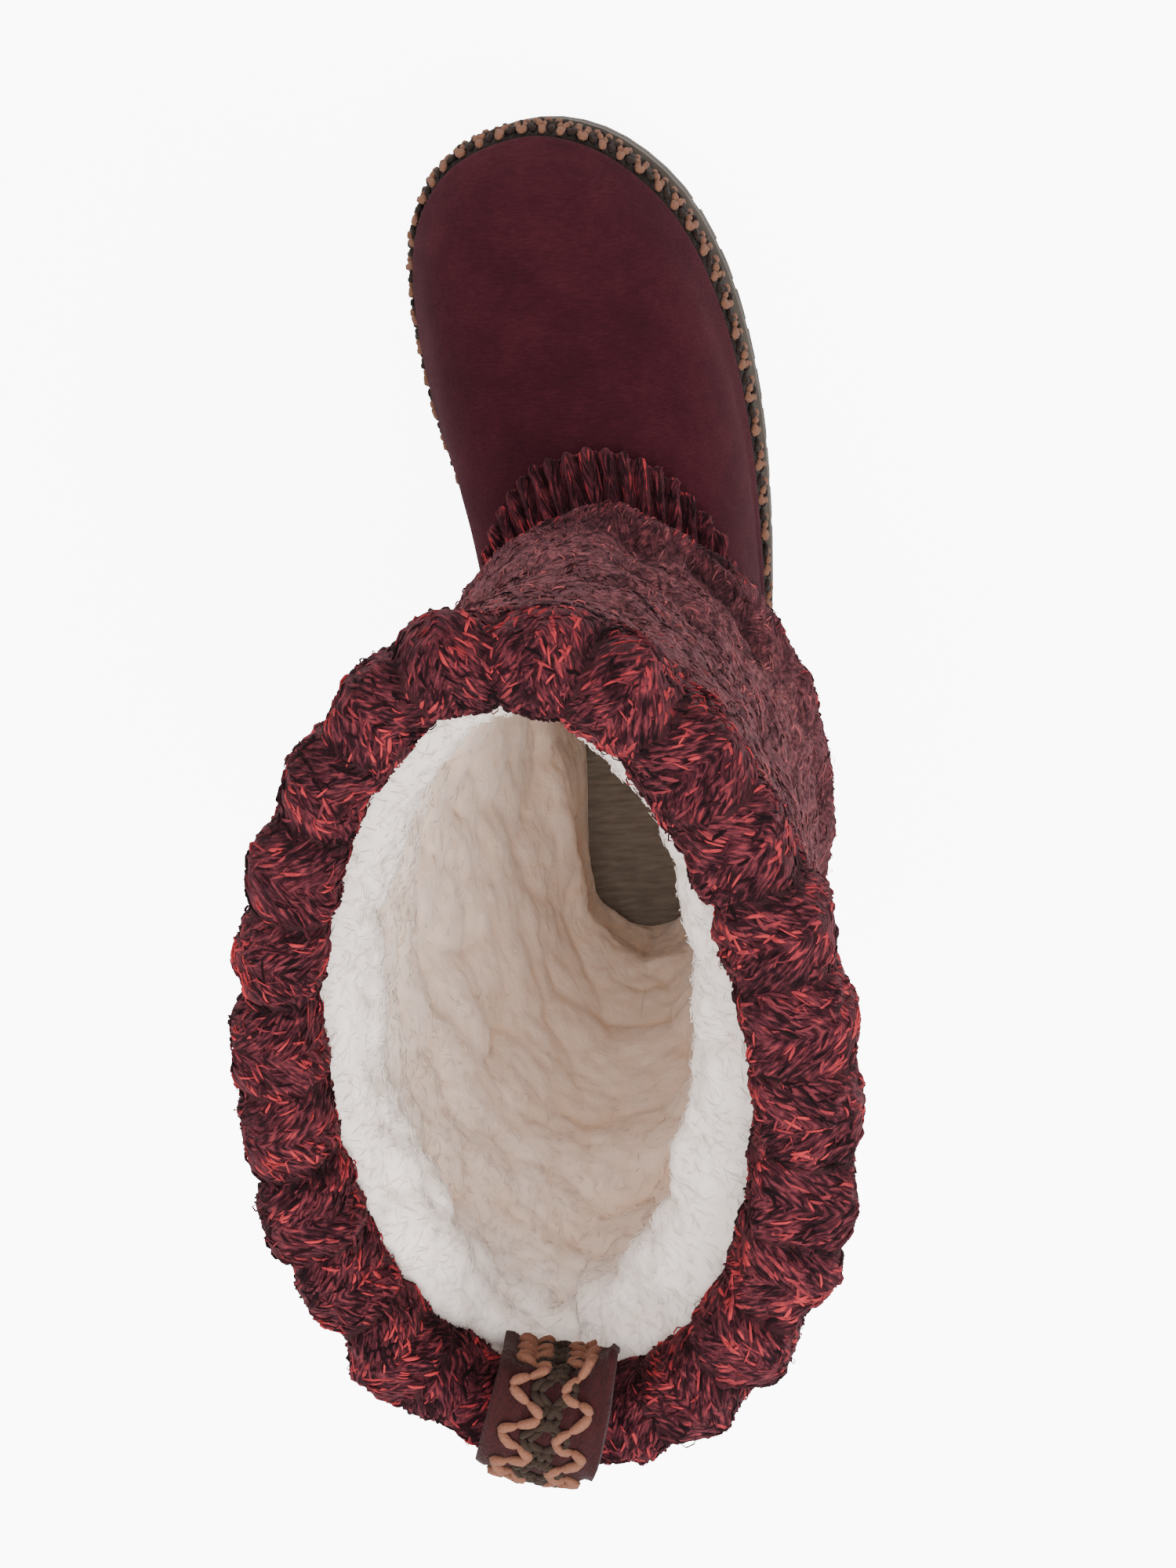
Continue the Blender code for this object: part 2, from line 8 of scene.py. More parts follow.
import logging
import math
from collections.abc import Callable
from dataclasses import dataclass
from enum import Enum

import bmesh
import bpy
import numpy as np
from mathutils import Matrix, Vector


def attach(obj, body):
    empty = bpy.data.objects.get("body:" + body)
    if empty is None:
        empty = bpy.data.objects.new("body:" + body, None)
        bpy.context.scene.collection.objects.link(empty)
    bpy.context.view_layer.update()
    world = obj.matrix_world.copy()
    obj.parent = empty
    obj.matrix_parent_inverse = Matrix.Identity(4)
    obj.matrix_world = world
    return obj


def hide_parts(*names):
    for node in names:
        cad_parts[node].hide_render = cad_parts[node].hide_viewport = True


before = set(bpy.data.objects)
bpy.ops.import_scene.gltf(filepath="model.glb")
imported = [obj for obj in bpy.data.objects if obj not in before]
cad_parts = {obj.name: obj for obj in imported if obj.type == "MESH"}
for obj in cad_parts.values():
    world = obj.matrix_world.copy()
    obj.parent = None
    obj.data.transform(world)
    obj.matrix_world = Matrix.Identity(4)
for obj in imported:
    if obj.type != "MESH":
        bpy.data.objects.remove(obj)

LOG = logging.getLogger("boot")
MM = 0.001
TAU = 2 * math.pi
WELD = 1e-6
TINY = 1e-12
Spread = float | np.ndarray  # one number, or one for each point

# Sole and foot, the same sizes as the solids'
SOLE_LENGTH = 0.272
BALL_WIDTH = 0.104
HEEL_SEAT = 0.036
HEEL_HEIGHT = 0.021
BALL_HEIGHT = 0.0135
TOE_SPRING = 0.010
WELT = 0.0024
THROAT_FRONT = 0.120
THROAT_BACK = 0.0315
THROAT_HEIGHT = 0.068
THROAT_RISE = 0.014
THROAT_WIDTH = 0.082
THROAT_SHIFT = 0.0025
SUEDE = 0.0020
SUEDE_LIP = 0.0009
TRIM_HEIGHT = 0.0185
TRIM = 0.0018
INSOLE = 0.0040
HEEL_CURVE = 0.0030

# Shaft and lining, the same sizes as the solids', apart from the two that say so
BOOT_HEIGHT = 0.275
COLLAR_LENGTH = 0.2075
COLLAR_WIDTH = 0.139
KNIT = 0.0045
FOLD_DEPTH = 0.010
RIM_KNIT = 0.0062
RIM_LEAN = 0.0035
RIM_TURN_IN = 0.026
COLLAR_EGG = 0.055
CABLE_COUNT = 24
CABLE_RELIEF = 0.0015  # the plies on the cables make up the rest of the solid's relief
FLEECE_FOOT = 0.0080
FLEECE_SHAFT = 0.0095
LOOP_WIDTH = 0.026
LOOP_RIBBON = 0.0020
LOOP_ARCH = 0.0105
LOOP_INNER_LEG = 0.026
LOOP_OUTER_LEG = 0.040
LOOP_SHIFT = -0.0064
LOOP_SKEW = 0.0053
LOOP_DENT = 0.0066  # the yarn gives way a little more than the solid
LOOP_DENT_SPREAD = 0.011
CLEARANCE = 0.0003
BAND_EDGE = 0.79

# Along in shares of the sole's length, both sides in shares of the ball's width.
SOLE_OUTLINE = np.array(
    [
        (0.000, 0.000, 0.000),
        (0.030, -0.215, 0.215),
        (0.090, -0.328, 0.330),
        (0.180, -0.364, 0.375),
        (0.300, -0.356, 0.408),
        (0.420, -0.362, 0.445),
        (0.550, -0.418, 0.462),
        (0.680, -0.507, 0.452),
        (0.800, -0.540, 0.398),
        (0.900, -0.508, 0.292),
        (0.965, -0.395, 0.138),
        (1.000, -0.120, -0.120),
    ]
)
# Turn from heel 0 to toe 1, then lean, rise, reach, drop and curve of the foot's curves.
FOOT_HANDLES = np.array(
    [
        (0.00, 0.00, 0.36, 0.20, 0.34, 1.00),
        (0.38, 0.05, 0.40, 0.40, 0.36, 0.40),
        (0.65, 0.09, 0.54, 0.50, 0.26, -0.50),
        (0.85, 0.07, 0.78, 0.46, 0.32, -0.40),
        (1.00, 0.05, 0.86, 0.46, 0.33, 0.00),
    ]
)
OUTER_UPRIGHT = 0.12
FOOT_SWING = math.radians(22)


@dataclass(frozen=True)
class Level:
    """One level of the shaft's lining: height from throat 0 to rim 1, the rest in shares of the collar."""

    height: float
    length: float
    width: float
    forward: float
    aside: float
    loose: float


CREASE = Level(0.030, 0.735, 0.630, 0.205, 0.014, 0.00)
TUCK = Level(0.058, 0.735, 0.636, 0.205, 0.013, 0.72)
SLOUCH = Level(0.112, 0.735, 0.648, 0.205, 0.012, 0.95)
ANKLE = Level(0.195, 0.745, 0.674, 0.206, 0.006, 0.50)
CALF = Level(0.300, 0.762, 0.712, 0.207, 0.000, 0.08)
MIDDLE = Level(0.500, 0.800, 0.760, 0.213, -0.006, 0.00)
UPPER = Level(0.700, 0.850, 0.812, 0.219, -0.010, 0.00)
NECK = Level(0.830, 0.880, 0.838, 0.222, -0.010, 0.00)
ROLL = Level(0.915, 0.938, 0.908, 0.222, -0.010, 0.00)
RIM = Level(1.000, 0.938, 0.908, 0.222, -0.010, 0.00)

# Soft folds of the slack knit: height, turn, height and width of the fold, depth in shares.
KNIT_FOLDS = np.array(
    [
        (0.10, 0.47, 0.05, 0.090, 0.30),
        (0.19, 0.42, 0.04, 0.050, -0.30),
        (0.12, 0.27, 0.05, 0.070, 0.30),
        (0.22, 0.62, 0.06, 0.080, 0.25),
        (0.30, 0.48, 0.05, 0.070, 0.30),
        (0.28, 0.02, 0.06, 0.080, 0.35),
        (0.45, 0.80, 0.07, 0.080, 0.25),
    ]
)
# Pull loop from its inner end over the rim to its outer end: across 0 to 1, lift in legs or arches.
LOOP_STEPS = np.array(
    [
        (0.00, -1.00),
        (-0.22, -0.62),
        (-0.60, -0.10),
        (-0.68, 0.45),
        (-0.28, 0.95),
        (0.22, 0.92),
        (0.62, 0.62),
        (0.94, 0.02),
        (1.00, -0.36),
        (1.00, -1.00),
    ]
)


@dataclass(frozen=True)
class Crease:
    """A soft trough or ridge between two points of the shaft, each a turn and a row in shares."""

    turn_a: float
    row_a: float
    turn_b: float
    row_b: float
    width: float
    depth: float

    def nearness(self, surface: "Surface") -> np.ndarray:
        """How close each point of a surface lies to the crease's line.

        Args:
            surface: the surface.

        Returns:
            1 on the line, falling softly to 0.
        """
        ends, _ = surface.sample(np.array([self.turn_a, self.turn_b]), np.array([self.row_a, self.row_b]))
        line = ends[1] - ends[0]
        share = np.clip(((surface.points - ends[0]) @ line) / (line @ line), 0, 1)
        away = np.linalg.norm(surface.points - ends[0] - share[..., None] * line, axis=2)
        return np.exp(-((away / self.width) ** 2)) * ease(4 * share + 0.2) * ease(4 * (1 - share) + 0.2)


# Troughs (depth above 0) and ridges (below 0) of the slack knit, in metres.
SHAFT_CREASES = (
    Crease(0.47, 0.27, 0.38, 0.36, 0.0060, 0.0030),
    Crease(0.44, 0.24, 0.36, 0.30, 0.0050, -0.0022),
    Crease(0.58, 0.30, 0.66, 0.42, 0.0060, 0.0024),
    Crease(0.53, 0.34, 0.44, 0.42, 0.0070, 0.0018),
    Crease(0.12, 0.30, 0.24, 0.42, 0.0070, 0.0026),
    Crease(0.90, 0.28, 0.80, 0.38, 0.0070, 0.0026),
    Crease(0.30, 0.36, 0.34, 0.52, 0.0080, 0.0022),
    Crease(0.72, 0.36, 0.70, 0.54, 0.0080, 0.0020),
    Crease(0.98, 0.40, 0.06, 0.46, 0.0070, 0.0020),
    Crease(0.47, 0.140, 0.35, 0.158, 0.0040, 0.0038),
    Crease(0.41, 0.185, 0.30, 0.225, 0.0045, 0.0034),
    Crease(0.54, 0.165, 0.43, 0.205, 0.0045, 0.0026),
    Crease(0.62, 0.150, 0.72, 0.190, 0.0050, 0.0022),
)


def smooth_curve(knots: np.ndarray, values: np.ndarray, at: Spread, period: float | None = None) -> Spread:
    """Values between knots on a smooth curve.

    Args:
        knots: rising positions.
        values: array whose last axis is the knots'.
        at: positions asked for.
        period: length after which the curve repeats, or None.

    Returns:
        Array with the positions on its last axis.
    """
    knots = np.asarray(knots, float)
    values = np.asarray(values, float)
    if period:
        knots = np.concatenate([knots[-2:] - period, knots, knots[:3] + period])
        values = np.concatenate([values[..., -2:], values, values[..., :3]], axis=-1)
    gaps = np.diff(knots)
    slopes = np.diff(values, axis=-1) / gaps
    inner = (slopes[..., :-1] * gaps[1:] + slopes[..., 1:] * gaps[:-1]) / (gaps[:-1] + gaps[1:])
    tangents = np.concatenate([slopes[..., :1], inner, slopes[..., -1:]], axis=-1)
    span = np.clip(np.searchsorted(knots, at, side="right") - 1, 0, len(gaps) - 1)
    step = gaps[span]
    share = (at - knots[span]) / step
    rest = 1 - share
    start = values[..., span] * (1 + 2 * share) * rest**2 + tangents[..., span] * step * share * rest**2
    end = values[..., span + 1] * (3 - 2 * share) * share**2
    return start + end - tangents[..., span + 1] * step * rest * share**2


def ease(share: Spread) -> Spread:
    """Soft step.

    Args:
        share: number or array.

    Returns:
        0 below 0, 1 above 1 and a soft step between them.
    """
    share = np.clip(share, 0.0, 1.0)
    return share * share * (3 - 2 * share)


def hashed(*keys: np.ndarray) -> np.ndarray:
    """Even random numbers from whole numbers.

    Args:
        keys: arrays of whole numbers.

    Returns:
        Array from 0 to 1.
    """
    mixed = np.zeros(np.broadcast(*keys).shape, np.uint64)
    for key, prime in zip(keys, (73856093, 19349663, 83492791, 49979687)):
        mixed = mixed ^ (np.asarray(key).astype(np.int64) * prime).astype(np.uint64)
    mixed = (mixed ^ (mixed >> np.uint64(13))) * np.uint64(1274126177)
    mixed = (mixed ^ (mixed >> np.uint64(16))) * np.uint64(2246822519)
    return ((mixed >> np.uint64(20)) & np.uint64(0xFFFF)).astype(float) / 65535


def soft_noise(points: np.ndarray, size: float, seed: int) -> np.ndarray:
    """Smooth random field.

    Args:
        points: array of points, last axis 3, in metres.
        size: size of a feature in metres.
        seed: whole number.

    Returns:
        Array from -1 to 1.
    """
    scaled = points / size + 1000
    cell = np.floor(scaled).astype(np.int64)
    part = ease(scaled - cell)
    total = np.zeros(points.shape[:-1])
    for corner in np.ndindex(2, 2, 2):
        weight = np.prod([part[..., k] if corner[k] else 1 - part[..., k] for k in range(3)], axis=0)
        key = [cell[..., k] + corner[k] for k in range(3)]
        total += weight * hashed(*key, np.int64(seed))
    return 2 * total - 1


def lumps(points: np.ndarray, size: float, seed: int) -> np.ndarray:
    """Field of round lumps that meet in furrows.

    Args:
        points: array of points, last axis 3, in metres.
        size: distance between lumps in metres.
        seed: whole number.

    Returns:
        Array from 0 in the furrows to 1 on a lump.
    """
    scaled = points / size + 1000
    cell = np.floor(scaled).astype(np.int64)
    near = np.full(points.shape[:-1], 9.0)
    for shift in np.ndindex(3, 3, 3):
        key = [cell[..., k] + shift[k] - 1 for k in range(3)]
        spot = np.stack([key[k] + hashed(*key, np.int64(seed + k + 1)) for k in range(3)], axis=-1)
        near = np.minimum(near, ((scaled - spot) ** 2).sum(axis=-1))
    return np.clip(1 - near, 0, 1) ** 0.8


def outward(ring: np.ndarray) -> np.ndarray:
    """Level unit vectors that point out of closed rings.

    Args:
        ring: array of points, with the ring on the axis before the last.

    Returns:
        Array of the same shape.
    """
    along = np.roll(ring, -1, axis=-2) - np.roll(ring, 1, axis=-2)
    normal = np.stack([along[..., 1], -along[..., 0], np.zeros(along.shape[:-1])], axis=-1)
    return normal / np.linalg.norm(normal, axis=-1, keepdims=True)


def sole_outline(angles: np.ndarray) -> np.ndarray:
    """Plan of the sole's edge.

    Args:
        angles: angles of the ring's points.

    Returns:
        Points at height 0.
    """
    first = np.arccos(1 - 2 * SOLE_OUTLINE[:, 0])
    knots = np.concatenate([first, TAU - first[-2:0:-1]])
    sides = np.concatenate([SOLE_OUTLINE[:, 2], SOLE_OUTLINE[-2:0:-1, 1]])
    across = smooth_curve(knots, sides, angles, TAU) * BALL_WIDTH
    along = SOLE_LENGTH * (1 - np.cos(angles)) / 2 - HEEL_SEAT
    return np.stack([across, along, np.zeros(len(angles))], axis=1)


def footbed(y: Spread) -> Spread:
    """Height of the sole's top.

    Args:
        y: distance forward of the origin.

    Returns:
        Height over the floor.
    """
    share = (y + HEEL_SEAT) / SOLE_LENGTH
    spring = TOE_SPRING * np.clip((share - 0.735) / 0.265, 0, 1) ** 1.8
    return HEEL_HEIGHT + (BALL_HEIGHT - HEEL_HEIGHT) * ease((share - 0.28) / 0.40) + spring


def seated(ring: np.ndarray, lift: float) -> np.ndarray:
    """Sets a ring on the footbed.

    Args:
        ring: points.
        lift: height over the footbed.

    Returns:
        New points.
    """
    lowered = ring.copy()
    lowered[:, 2] = footbed(ring[:, 1]) + lift
    return lowered


def throat_ring(angles: np.ndarray) -> np.ndarray:
    """The suede's upper edge.

    Args:
        angles: angles of the ring's points.

    Returns:
        Points.
    """
    swung = angles + FOOT_SWING * np.sin(angles)
    half = (THROAT_FRONT + THROAT_BACK) / 2
    y = THROAT_FRONT - half - half * np.cos(swung)
    x = THROAT_SHIFT + THROAT_WIDTH / 2 * np.sign(np.sin(swung)) * np.abs(np.sin(swung)) ** 0.9
    z = THROAT_HEIGHT + THROAT_RISE * ((1 - np.cos(swung)) / 2) ** 2.2
    return np.stack([x, y, z], axis=1)


class FootForm:
    """The foot's outer form: one curve for each point of a ring, from the sole up to the throat."""

    def __init__(self, count: int, steps: int = 60) -> None:
        """Works the curves out.

        Args:
            count: points of a ring.
            steps: points of a curve.
        """
        angles = TAU * np.arange(count) / count
        share = 1 - np.abs(1 - angles / math.pi)
        lean, rise, reach, drop, curve = (
            smooth_curve(FOOT_HANDLES[:, 0], FOOT_HANDLES[:, k], share)[:, None] for k in range(1, 6)
        )
        lean = lean - OUTER_UPRIGHT * np.clip(np.sin(angles), 0, None)[:, None]
        edge = sole_outline(angles)
        out = outward(edge)
        low = seated(edge - out * WELT, CLEARANCE)
        high = throat_ring(angles)
        tall = np.zeros_like(low)
        tall[:, 2] = high[:, 2] - low[:, 2]
        apart = (low - high) * (1, 1, 0)
        bulge = out * HEEL_CURVE * curve
        low_handle = low + tall * rise + apart * lean + bulge
        high_handle = high - tall * drop + apart * reach + bulge
        along = np.linspace(0, 1, steps)[None, :, None]
        rest = 1 - along
        self.count = count
        self.curves = (
            low[:, None] * rest**3
            + 3 * low_handle[:, None] * rest**2 * along
            + 3 * high_handle[:, None] * rest * along**2
            + high[:, None] * along**3
        )
        gaps = np.linalg.norm(np.diff(self.curves, axis=1), axis=2)
        self.lengths = np.concatenate([np.zeros((count, 1)), np.cumsum(gaps, axis=1)], axis=1)

    def points(self, height: np.ndarray) -> np.ndarray:
        """Points that lie a length up each curve.

        Args:
            height: length for each curve.

        Returns:
            Points of one ring.
        """
        rows = zip(height, self.lengths, self.curves)
        return np.array([[np.interp(h, far, curve[:, k]) for k in range(3)] for h, far, curve in rows])

    def ring(self, height: Spread, offset: Spread) -> np.ndarray:
        """A ring at a length up each curve, moved out along the surface's normal.

        Args:
            height: length, or one for each curve.
            offset: distance outward, one or one for each point.

        Returns:
            Points of one ring.
        """
        height = np.broadcast_to(height, self.count)
        here = self.points(height)
        up = self.points(height + MM) - self.points(height - MM)
        along = np.roll(here, -1, axis=0) - np.roll(here, 1, axis=0)
        normal = np.cross(along, up)
        normal = np.broadcast_to(offset, self.count)[:, None] * normal / np.linalg.norm(normal, axis=1, keepdims=True)
        return here + normal

    def above_trim(self, share: float, offset: Spread) -> np.ndarray:
        """A ring between the ribbon, share 0, and the throat, share 1.

        Args:
            share: place between them.
            offset: distance outward, one or one for each point.

        Returns:
            Points of one ring.
        """
        start = TRIM_HEIGHT + 2 * CLEARANCE
        return self.ring(start + (self.lengths[:, -1] - start) * share, offset)


def shaft_ring(level: Level, count: int, offset: Spread = 0.0, rise: float = 0.0) -> np.ndarray:
    """A level ring of the shaft's lining line.

    Args:
        level: which level.
        count: points of the ring.
        offset: distance outward, one or one for each point.
        rise: distance upward.

    Returns:
        Points of one ring.
    """
    turn = TAU * np.arange(count) / count
    dense = np.linspace(0, TAU, 721)
    steps = np.hypot(np.diff(COLLAR_WIDTH * np.sin(dense)), np.diff(COLLAR_LENGTH * np.cos(dense)))
    length = np.concatenate([[0], np.cumsum(steps)])
    even = np.interp(turn / TAU * length[-1], length, dense)
    swung = turn + FOOT_SWING * np.sin(turn)
    angles = swung + (even - swung) * ease(level.height / UPPER.height)
    broad = 1 + COLLAR_EGG * ease(level.height) * np.cos(angles)
    x = COLLAR_WIDTH * (level.aside + level.width / 2 * np.sin(angles) * broad)
    y = COLLAR_LENGTH * (level.forward - level.length / 2 * np.cos(angles))
    low = THROAT_HEIGHT + THROAT_RISE * ((1 - np.cos(angles)) / 2) ** 2.2
    ring = np.stack([x, y, low + (BOOT_HEIGHT - low) * level.height + rise], axis=1)
    return ring + outward(ring) * np.broadcast_to(offset, count)[:, None]


def looseness(level: Level, count: int) -> np.ndarray:
    """How far the knit stands off the lining.

    Args:
        level: which level.
        count: points of the ring.

    Returns:
        Distance for each point.
    """
    turn = np.arange(count) / count
    loose = np.full(count, level.loose)
    for height, place, tall, wide, depth in KNIT_FOLDS:
        aside = np.abs((turn - place + 0.5) % 1 - 0.5) / wide
        loose = loose + depth * np.exp(-(aside**2) - ((level.height - height) / tall) ** 2)
    return FOLD_DEPTH * np.clip(loose, 0, None)


def under_loop(ring: np.ndarray) -> np.ndarray:
    """How hard the pull loop presses on the back of the rim.

    Args:
        ring: points of a ring of the rim.

    Returns:
        From 0 to 1 for each point.
    """
    turn = np.arange(len(ring)) / len(ring)
    aside = np.abs(ring[:, 0] - LOOP_SHIFT + LOOP_SKEW) - LOOP_WIDTH / 2
    return (np.cos(TAU * turn) > 0) * ease(1 - aside / LOOP_DENT_SPREAD)


def between(grids: tuple[np.ndarray, ...], row: np.ndarray, column: np.ndarray) -> list[np.ndarray]:
    """Points between the rows and columns of grids whose columns go round.

    Args:
        grids: arrays of rows by columns of points.
        row: places among the rows.
        column: places among the columns.

    Returns:
        Points for each grid.
    """
    count = grids[0].shape[1]
    left, low = np.floor(column).astype(int), np.floor(row).astype(int)
    aside, above = (column - left)[..., None], (row - low)[..., None]
    found = []
    for grid in grids:
        lower = grid[low, left % count] * (1 - aside) + grid[low, (left + 1) % count] * aside
        upper = grid[low + 1, left % count] * (1 - aside) + grid[low + 1, (left + 1) % count] * aside
        found.append(lower * (1 - above) + upper * above)
    return found


def nearest(grid: np.ndarray, turn: np.ndarray, share: np.ndarray) -> np.ndarray:
    """Values of a grid at the point before each place.

    Args:
        grid: rows by columns of numbers.
        turn: places round the surface, from 0 to 1.
        share: places from the first row, 0, to the last, 1.

    Returns:
        One value for each place.
    """
    rows, columns = grid.shape
    row = np.clip(share * (rows - 1), 0, rows - 1).astype(int)
    return grid[row, (turn * columns).astype(int) % columns]


@dataclass
class Surface:
    """A closed band of points: rows of rings, with normals that point off the material."""

    points: np.ndarray
    normals: np.ndarray

    @classmethod
    def through(cls, rings: list[np.ndarray], rows: int) -> "Surface":
        """Makes the surface through rings.

        Args:
            rings: list of rings, each with the same number of points.
            rows: number of rows wanted.

        Returns:
            The surface.
        """
        stack = np.array(rings)
        gaps = np.linalg.norm(np.diff(stack, axis=0), axis=2).mean(axis=1)
        knots = np.concatenate([[0], np.cumsum(gaps)])
        at = knots[-1] * np.linspace(0, 1, rows)
        points = np.moveaxis(smooth_curve(knots, np.moveaxis(stack, 0, -1), at), -1, 0)
        surface = cls(points, points)
        surface.settle()
        return surface

    def settle(self) -> None:
        """Works the normals out again after points moved."""
        around = np.roll(self.points, -1, axis=1) - np.roll(self.points, 1, axis=1)
        along = np.gradient(self.points, axis=0)
        normal = np.cross(around, along)
        self.normals = normal / np.maximum(np.linalg.norm(normal, axis=2, keepdims=True), TINY)

    def push(self, height: np.ndarray) -> None:
        """Moves the points along the normals.

        Args:
            height: distance for each point.
        """
        self.points = self.points + self.normals * height[..., None]
        self.settle()

    def lengths(self) -> np.ndarray:
        """Length along the surface for each row, in metres."""
        gaps = np.linalg.norm(np.diff(self.points, axis=0), axis=2).mean(axis=1)
        return np.concatenate([[0], np.cumsum(gaps)])

    def girths(self) -> np.ndarray:
        """Length round each row, in metres."""
        return np.linalg.norm(np.roll(self.points, -1, axis=1) - self.points, axis=2).sum(axis=1)

    def shares(self) -> np.ndarray:
        """Place of each row from 0 to 1, as a column."""
        return np.linspace(0, 1, len(self.points))[:, None]

    def turns(self) -> np.ndarray:
        """Place of each column from 0 to 1, as a row."""
        count = self.points.shape[1]
        return (np.arange(count) / count)[None, :]

    def sample(self, turn: np.ndarray, share: np.ndarray) -> list[np.ndarray]:
        """Points between the rows and columns.

        Args:
            turn: places round the surface, from 0 to 1.
            share: places from the first row, 0, to the last, 1.

        Returns:
            Points and normals.
        """
        rows, count = self.points.shape[:2]
        row = np.clip(share, 0, 1) * (rows - 1.001)
        return between((self.points, self.normals), row, (turn % 1) * count)

    def lines(
        self, turn: np.ndarray, share: np.ndarray, around: np.ndarray, upward: np.ndarray, steps: np.ndarray,
        margin: float,
    ) -> list[np.ndarray]:
        """Short lines on the surface.

        Args:
            turn: where each line lies round the surface, from 0 to 1.
            share: where it lies among the rows, from 0 to 1.
            around: how far it runs round the surface, in metres.
            upward: how far it runs up the rows, in metres.
            steps: places of its points along it.
            margin: share of the rows that stays free at both edges.

        Returns:
            Points and normals, lines by steps.
        """
        girth = np.interp(share, self.shares()[:, 0], self.girths())
        turns = turn[:, None] + steps * (around / girth)[:, None]
        shares = share[:, None] + steps * (upward / self.lengths()[-1])[:, None]
        return self.sample(turns, np.clip(shares, margin, 1 - margin))


def srgb(code: str) -> tuple[float, ...]:
    """A colour code as scene values.

    Args:
        code: six hexadecimal digits with a leading hash.

    Returns:
        Red, green, blue and alpha.
    """
    parts = [int(code[k : k + 2], 16) / 255 for k in (1, 3, 5)]
    return (*(c / 12.92 if c <= 0.04045 else ((c + 0.055) / 1.055) ** 2.4 for c in parts), 1.0)


class Nodes:
    """A material under construction, with one function that adds a node."""

    def __init__(self, name: str) -> None:
        """Starts a material.

        Args:
            name: name of the real material and its finish.
        """
        self.material = bpy.data.materials.new(name)
        self.material.use_nodes = True
        self.tree = self.material.node_tree

    def add(self, kind: str, output: str | int, settings: dict, inputs: dict) -> bpy.types.NodeSocket:
        """Adds a node with its settings and links.

        Args:
            kind: node type without its prefix.
            output: name or number of the output wanted.
            settings: the node's own settings. Under stops are a colour ramp's positions and colour codes.
            inputs: input name or number to a value or another node's output.

        Returns:
            The output.
        """
        node = self.tree.nodes.new("ShaderNode" + kind)
        for key, value in settings.items():
            if key != "stops":
                setattr(node, key, value)
                continue
            elements = node.color_ramp.elements
            while len(elements) < len(value):
                elements.new(0.5)
            for element, (position, code) in zip(elements, value):
                element.position = position
                element.color = srgb(code)
        self.link(node, inputs)
        return node.outputs[output]

    def link(self, node: bpy.types.Node, inputs: dict) -> None:
        """Sets or links a node's inputs.

        Args:
            node: the node.
            inputs: input name or number to a value or another node's output.
        """
        for key, value in inputs.items():
            if isinstance(value, bpy.types.NodeSocket):
                self.tree.links.new(value, node.inputs[key])
            else:
                node.inputs[key].default_value = value

    def finish(self, inputs: dict) -> bpy.types.Material:
        """Sets the surface's inputs.

        Args:
            inputs: input name to a value or a node's output.

        Returns:
            The material.
        """
        self.link(self.tree.nodes["Principled BSDF"], inputs)
        return self.material


# Settings that many nodes share. A Mix node's inputs 0, 6 and 7 are its factor and its two colours.
TIMES = {"operation": "MULTIPLY"}
TIMES_PLUS = {"operation": "MULTIPLY_ADD"}
COLOURS = {"data_type": "RGBA"}
STRAND = {"uv_map": "strand"}
# Spun fibre and nap: matt, hardly any gloss.
FIBROUS = {"Roughness": 0.95, "Specular IOR Level": 0.08}

# Colours of the yarn from dark to bright: on rim and band, and on the felted body.
RIM_YARN = (
    (0.0, "#0E0709"), (0.28, "#200C11"), (0.48, "#3F1A20"), (0.66, "#5A272D"), (0.82, "#842B30"), (0.98, "#9C3135"),
)
BODY_YARN = (
    (0.0, "#170B0E"), (0.28, "#331C20"), (0.48, "#4E2C2F"), (0.66, "#653A3D"), (0.85, "#824345"), (0.96, "#964A4B"),
)
YARN_SHEEN = "#B8767E"


